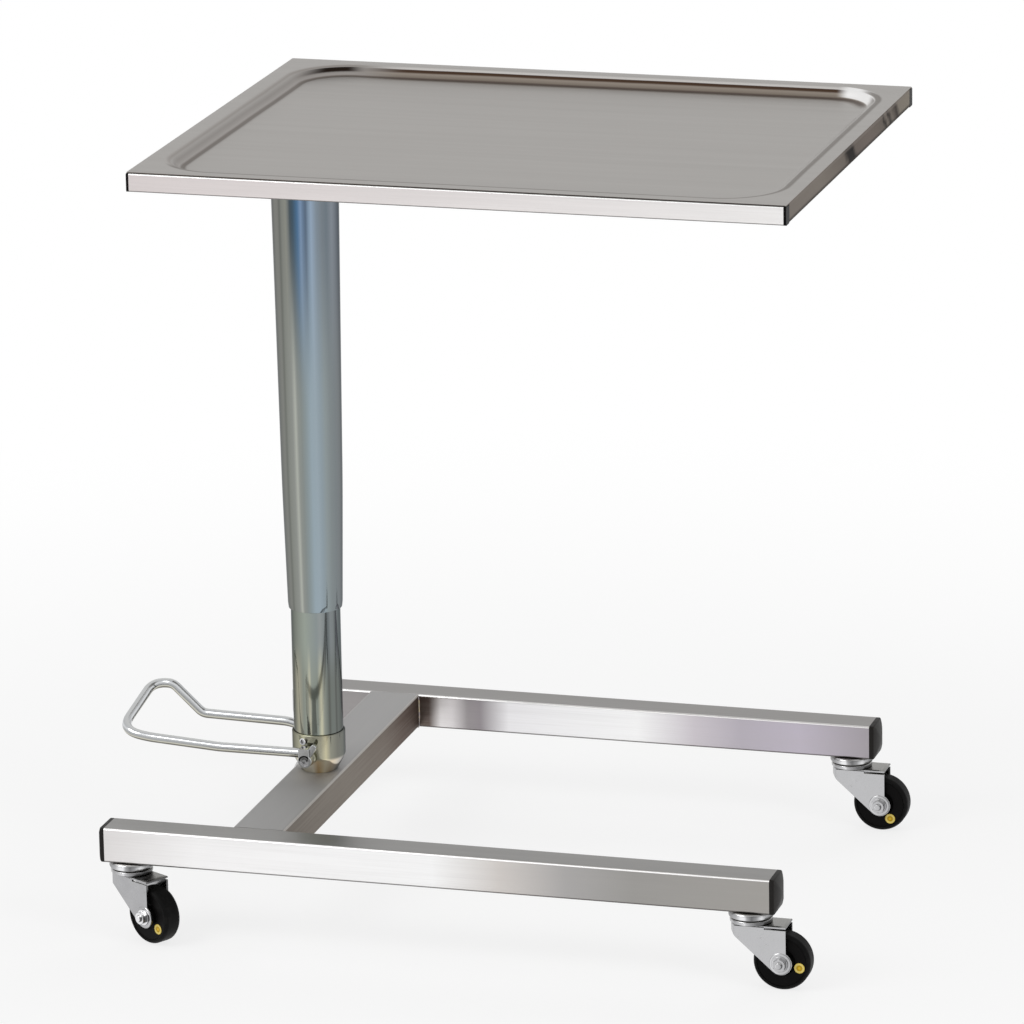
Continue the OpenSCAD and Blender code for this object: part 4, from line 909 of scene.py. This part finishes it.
# Tray.
# One drawn stainless sheet: a flat rim on the rails, a shallow recess with large round corners, and a flange
# folded down at each short side. The floor is brushed lengthwise, and painted reflections and shade lie along
# the drawn wall, the recess's edges and the flanges.
middle, half = sized("tray")
bottom, top, sheet, sheet_corner = middle[2] - half[2], middle[2] + half[2], 0.001, 0.0015
rim, rail_lip, slope, depth, corner_r, draw_r = 0.024, 0.0015, 0.010, 0.010, 0.064, 0.0062
rail_w, play, seam, soft, foot_run = 0.014, 0.0003, 0.00002, 0.0003, 0.016
hx, hy = half[0] - rim, half[1] - rim + rail_lip
flange_y, flange_h, fold_in = half[1] + rail_lip - rail_w - play, top - bottom, half[0] - 0.004


def rim_distance(spot):
    """Distance outwards from the recess's outline, a rectangle with round corners: with q = |p| - half +
    radius for both axes it is |max(q, 0)| + min(max(qx, qy), 0) - radius."""
    qx, qy = (abs(place - centre) - (reach - corner_r)
              for place, centre, reach in ((spot, middle[0], hx), (spot.out("Y"), middle[1], hy)))
    beyond_x, beyond_y = qx.most(0.0), qy.most(0.0)
    return (beyond_x * beyond_x + beyond_y * beyond_y) ** 0.5 + qx.most(qy).least(0.0) - corner_r


def tray_painted_light(graph, tone):
    """Painted reflections and shade on the drawn wall. From 40 mm inside the recess's outline to 10 mm outside
    it, painted bands run along it: brown reflections at the back, a dark painted reflection at their left
    end and a painted highlight at their right end, and fine lines of painted shade at the other sides."""
    spot = graph.spot("X")
    across = (rim_distance(spot) + (graph.noise(9.0) - 0.5) * 0.0016 + 0.04) / 0.05
    # Painted reflections in bands along the back wall: dark brown lines and a bright line near its top.
    band = ramp(graph, across, (
        (0.30, 169, 165, 161), (0.40, 150, 144, 138), (0.48, 92, 80, 71), (0.56, 88, 75, 66),
        (0.61, 134, 124, 114), (0.69, 150, 140, 130), (0.72, 78, 60, 48), (0.77, 74, 56, 45),
        (0.79, 216, 213, 210), (0.85, 206, 203, 200), (0.92, 172, 168, 164)))
    # Painted shade: a dark line at the wall's foot.
    plain = ramp(graph, across, (
        (0.44, 169, 165, 161), (0.50, 106, 98, 91), (0.56, 112, 104, 97), (0.61, 164, 159, 155),
        (0.70, 150, 145, 141), (0.77, 166, 162, 158), (0.82, 150, 144, 139), (0.90, 172, 168, 164)))

    def between(place, *edges):
        """1 between the two middle edges, fading to 0 at the outer ones."""
        return place.over(*edges[:2]) * (1.0 - place.over(*edges[2:]))

    wall = graph.mix(spot.over(-0.235, -0.165), plain, band)
    # A painted dark reflection at the left end of the back wall's bands.
    dark_reflection = between(spot, -0.290, -0.260, -0.240, -0.215) * between(across, 0.66, 0.70, 0.77, 0.79)
    wall = graph.mix(dark_reflection, wall, shade(38, 30, 25))
    # A painted highlight at their right end.
    painted_highlight = between(spot, 0.335, 0.352, 0.378, 0.392) * across.over(0.60, 0.64)
    wall = graph.mix(painted_highlight, wall, shade(252, 251, 250))
    left = 1.0 - spot.over(middle[0] - hx + 0.02, middle[0] - hx + 0.06)
    right = spot.over(middle[0] + hx - 0.03, middle[0] + hx - 0.01)
    front = 1.0 - spot.out("Y").over(middle[1] - hy + 0.01, middle[1] - hy + 0.03)
    rear = spot.out("Y").over(middle[1] + hy - 0.06, middle[1] + hy - 0.036)
    tone = graph.mix(left * between(across, 0.38, 0.44, 0.90, 0.96), tone, plain)
    tone = graph.mix(rear * between(across, 0.30, 0.38, 0.92, 0.98), tone, wall)
    # Painted shade: a dark line along the recess's front and right edges.
    lip = front.most(right) * between(across, 0.79, 0.83, 0.91, 0.98) * 0.85
    tone = graph.mix(lip, tone, shade(104, 96, 88))
    # Painted shadow on the sheet's front edge, where it lies on the rail.
    edge = (slant(graph, "Y") * -1.0).over(0.6, 0.9) * spot.out("Z").over(top - 0.0014, top - 0.0011)
    return graph.mix(edge, tone, shade(66, 60, 55))


def flank_painted_light(graph, tone):
    """Painted shade and reflections on the flanges: a browner tone, dark painted reflections in spots, painted
    shade along the lower edge and a painted highlight in a paler line under the fold.
    """
    spot = graph.spot("X")
    along, height = spot.out("Y"), spot.out("Z")
    wave = (graph.noise(70.0) - 0.5) * 0.02
    # Painted reflections: dark spots in a browner tone across the flange.
    flank = ramp(graph, (along + (height - top) * 1.2 + wave + 0.3) / 0.6, (
        (0.00, 148, 139, 131), (0.22, 152, 143, 134), (0.40, 134, 124, 115), (0.43, 34, 26, 22),
        (0.465, 30, 24, 20), (0.49, 128, 117, 109), (0.60, 136, 124, 116), (0.70, 126, 116, 107),
        (0.715, 54, 46, 40), (0.735, 146, 136, 126), (0.75, 56, 48, 42), (0.775, 140, 130, 120),
        (0.81, 68, 58, 52), (0.835, 156, 147, 135), (0.93, 162, 153, 140), (1.00, 104, 94, 86)))
    # Painted shade along the lower edge.
    flank = graph.mix(height.over(bottom + 0.005, bottom + 0.001) * 0.8, flank, shade(58, 50, 44))
    # Painted highlight: a paler line under the fold.
    return graph.mix(height.over(top - 0.005, top - 0.002) * 0.5, flank, shade(156, 147, 140))


def dish(drop, fat):
    """Rings of the drawn sheet from the rim's outer edge to the middle of the recess. drop lowers the rings
    and fat widens the wall's, so that the same line gives the upper and the lower face."""
    wall = eased(((foot_run, 0), (0, 0), (-slope, -depth), (-slope - foot_run, -depth)),
                 (0, draw_r + fat, draw_r - fat, 0), 9)
    rings = [(half[0] - soft, half[1] - soft, sheet_corner, 0)]
    rings += [(hx + move + fat, hy + move + fat, corner_r + move + fat, level) for move, level in wall]
    rings += [(hx * share, hy * share, corner_r * share, -depth) for share in (0.8, 0.55, 0.3, 0.05)]
    return [(top - drop + level, outline(x, y, radius, 16)) for x, y, radius, level in rings]


edge = [(top - sheet * 0.5, outline(half[0], half[1], sheet_corner, 16))]
bowl = stacked(dish(0, 0)[::-1] + edge + dish(sheet, sheet * 0.8))[..., (1, 2, 0)] + (middle[0], middle[1], 0)
sheets = [(bowl, 0, 1, 1)]
fold = eased(((fold_in, 0), (half[0], 0), (half[0], -flange_h), (half[0] - sheet, -flange_h),
              (half[0] - sheet, -sheet), (fold_in, -sheet)), (0, 0.0016, 0.0003, 0.0003, 0.0008, 0), 6)
ends = np.array((-flange_y, soft - flange_y, flange_y - soft, flange_y))[:, None]
for side in (-1, 1):
    flange = np.stack(np.broadcast_arrays(side * fold[:, 0], ends, fold[:, 1] - seam), -1)
    sheets.append((flange + (middle[0], middle[1], top), 0, 1, 1))
tray = skin("tray_sheet", brushed(
    "brushed steel of the tray", 0, (160, 156, 152), (184, 181, 177), 0.33, tray_painted_light), *sheets, angle=40)
# The flanges take a darker, browner copy of the tray's steel: painted shade.
tray.data.materials.append(brushed(
    "brushed steel of the flanges", 1, (120, 112, 104), (140, 132, 124), 0.30, flank_painted_light, 0.45))
normals = np.empty(len(tray.data.polygons) * 3)
tray.data.polygons.foreach_get("normal", normals)
tray.data.polygons.foreach_set("material_index", (np.abs(normals[::3]) > 0.8).astype(np.int32))
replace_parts(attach(tray, "tray"), "tray")
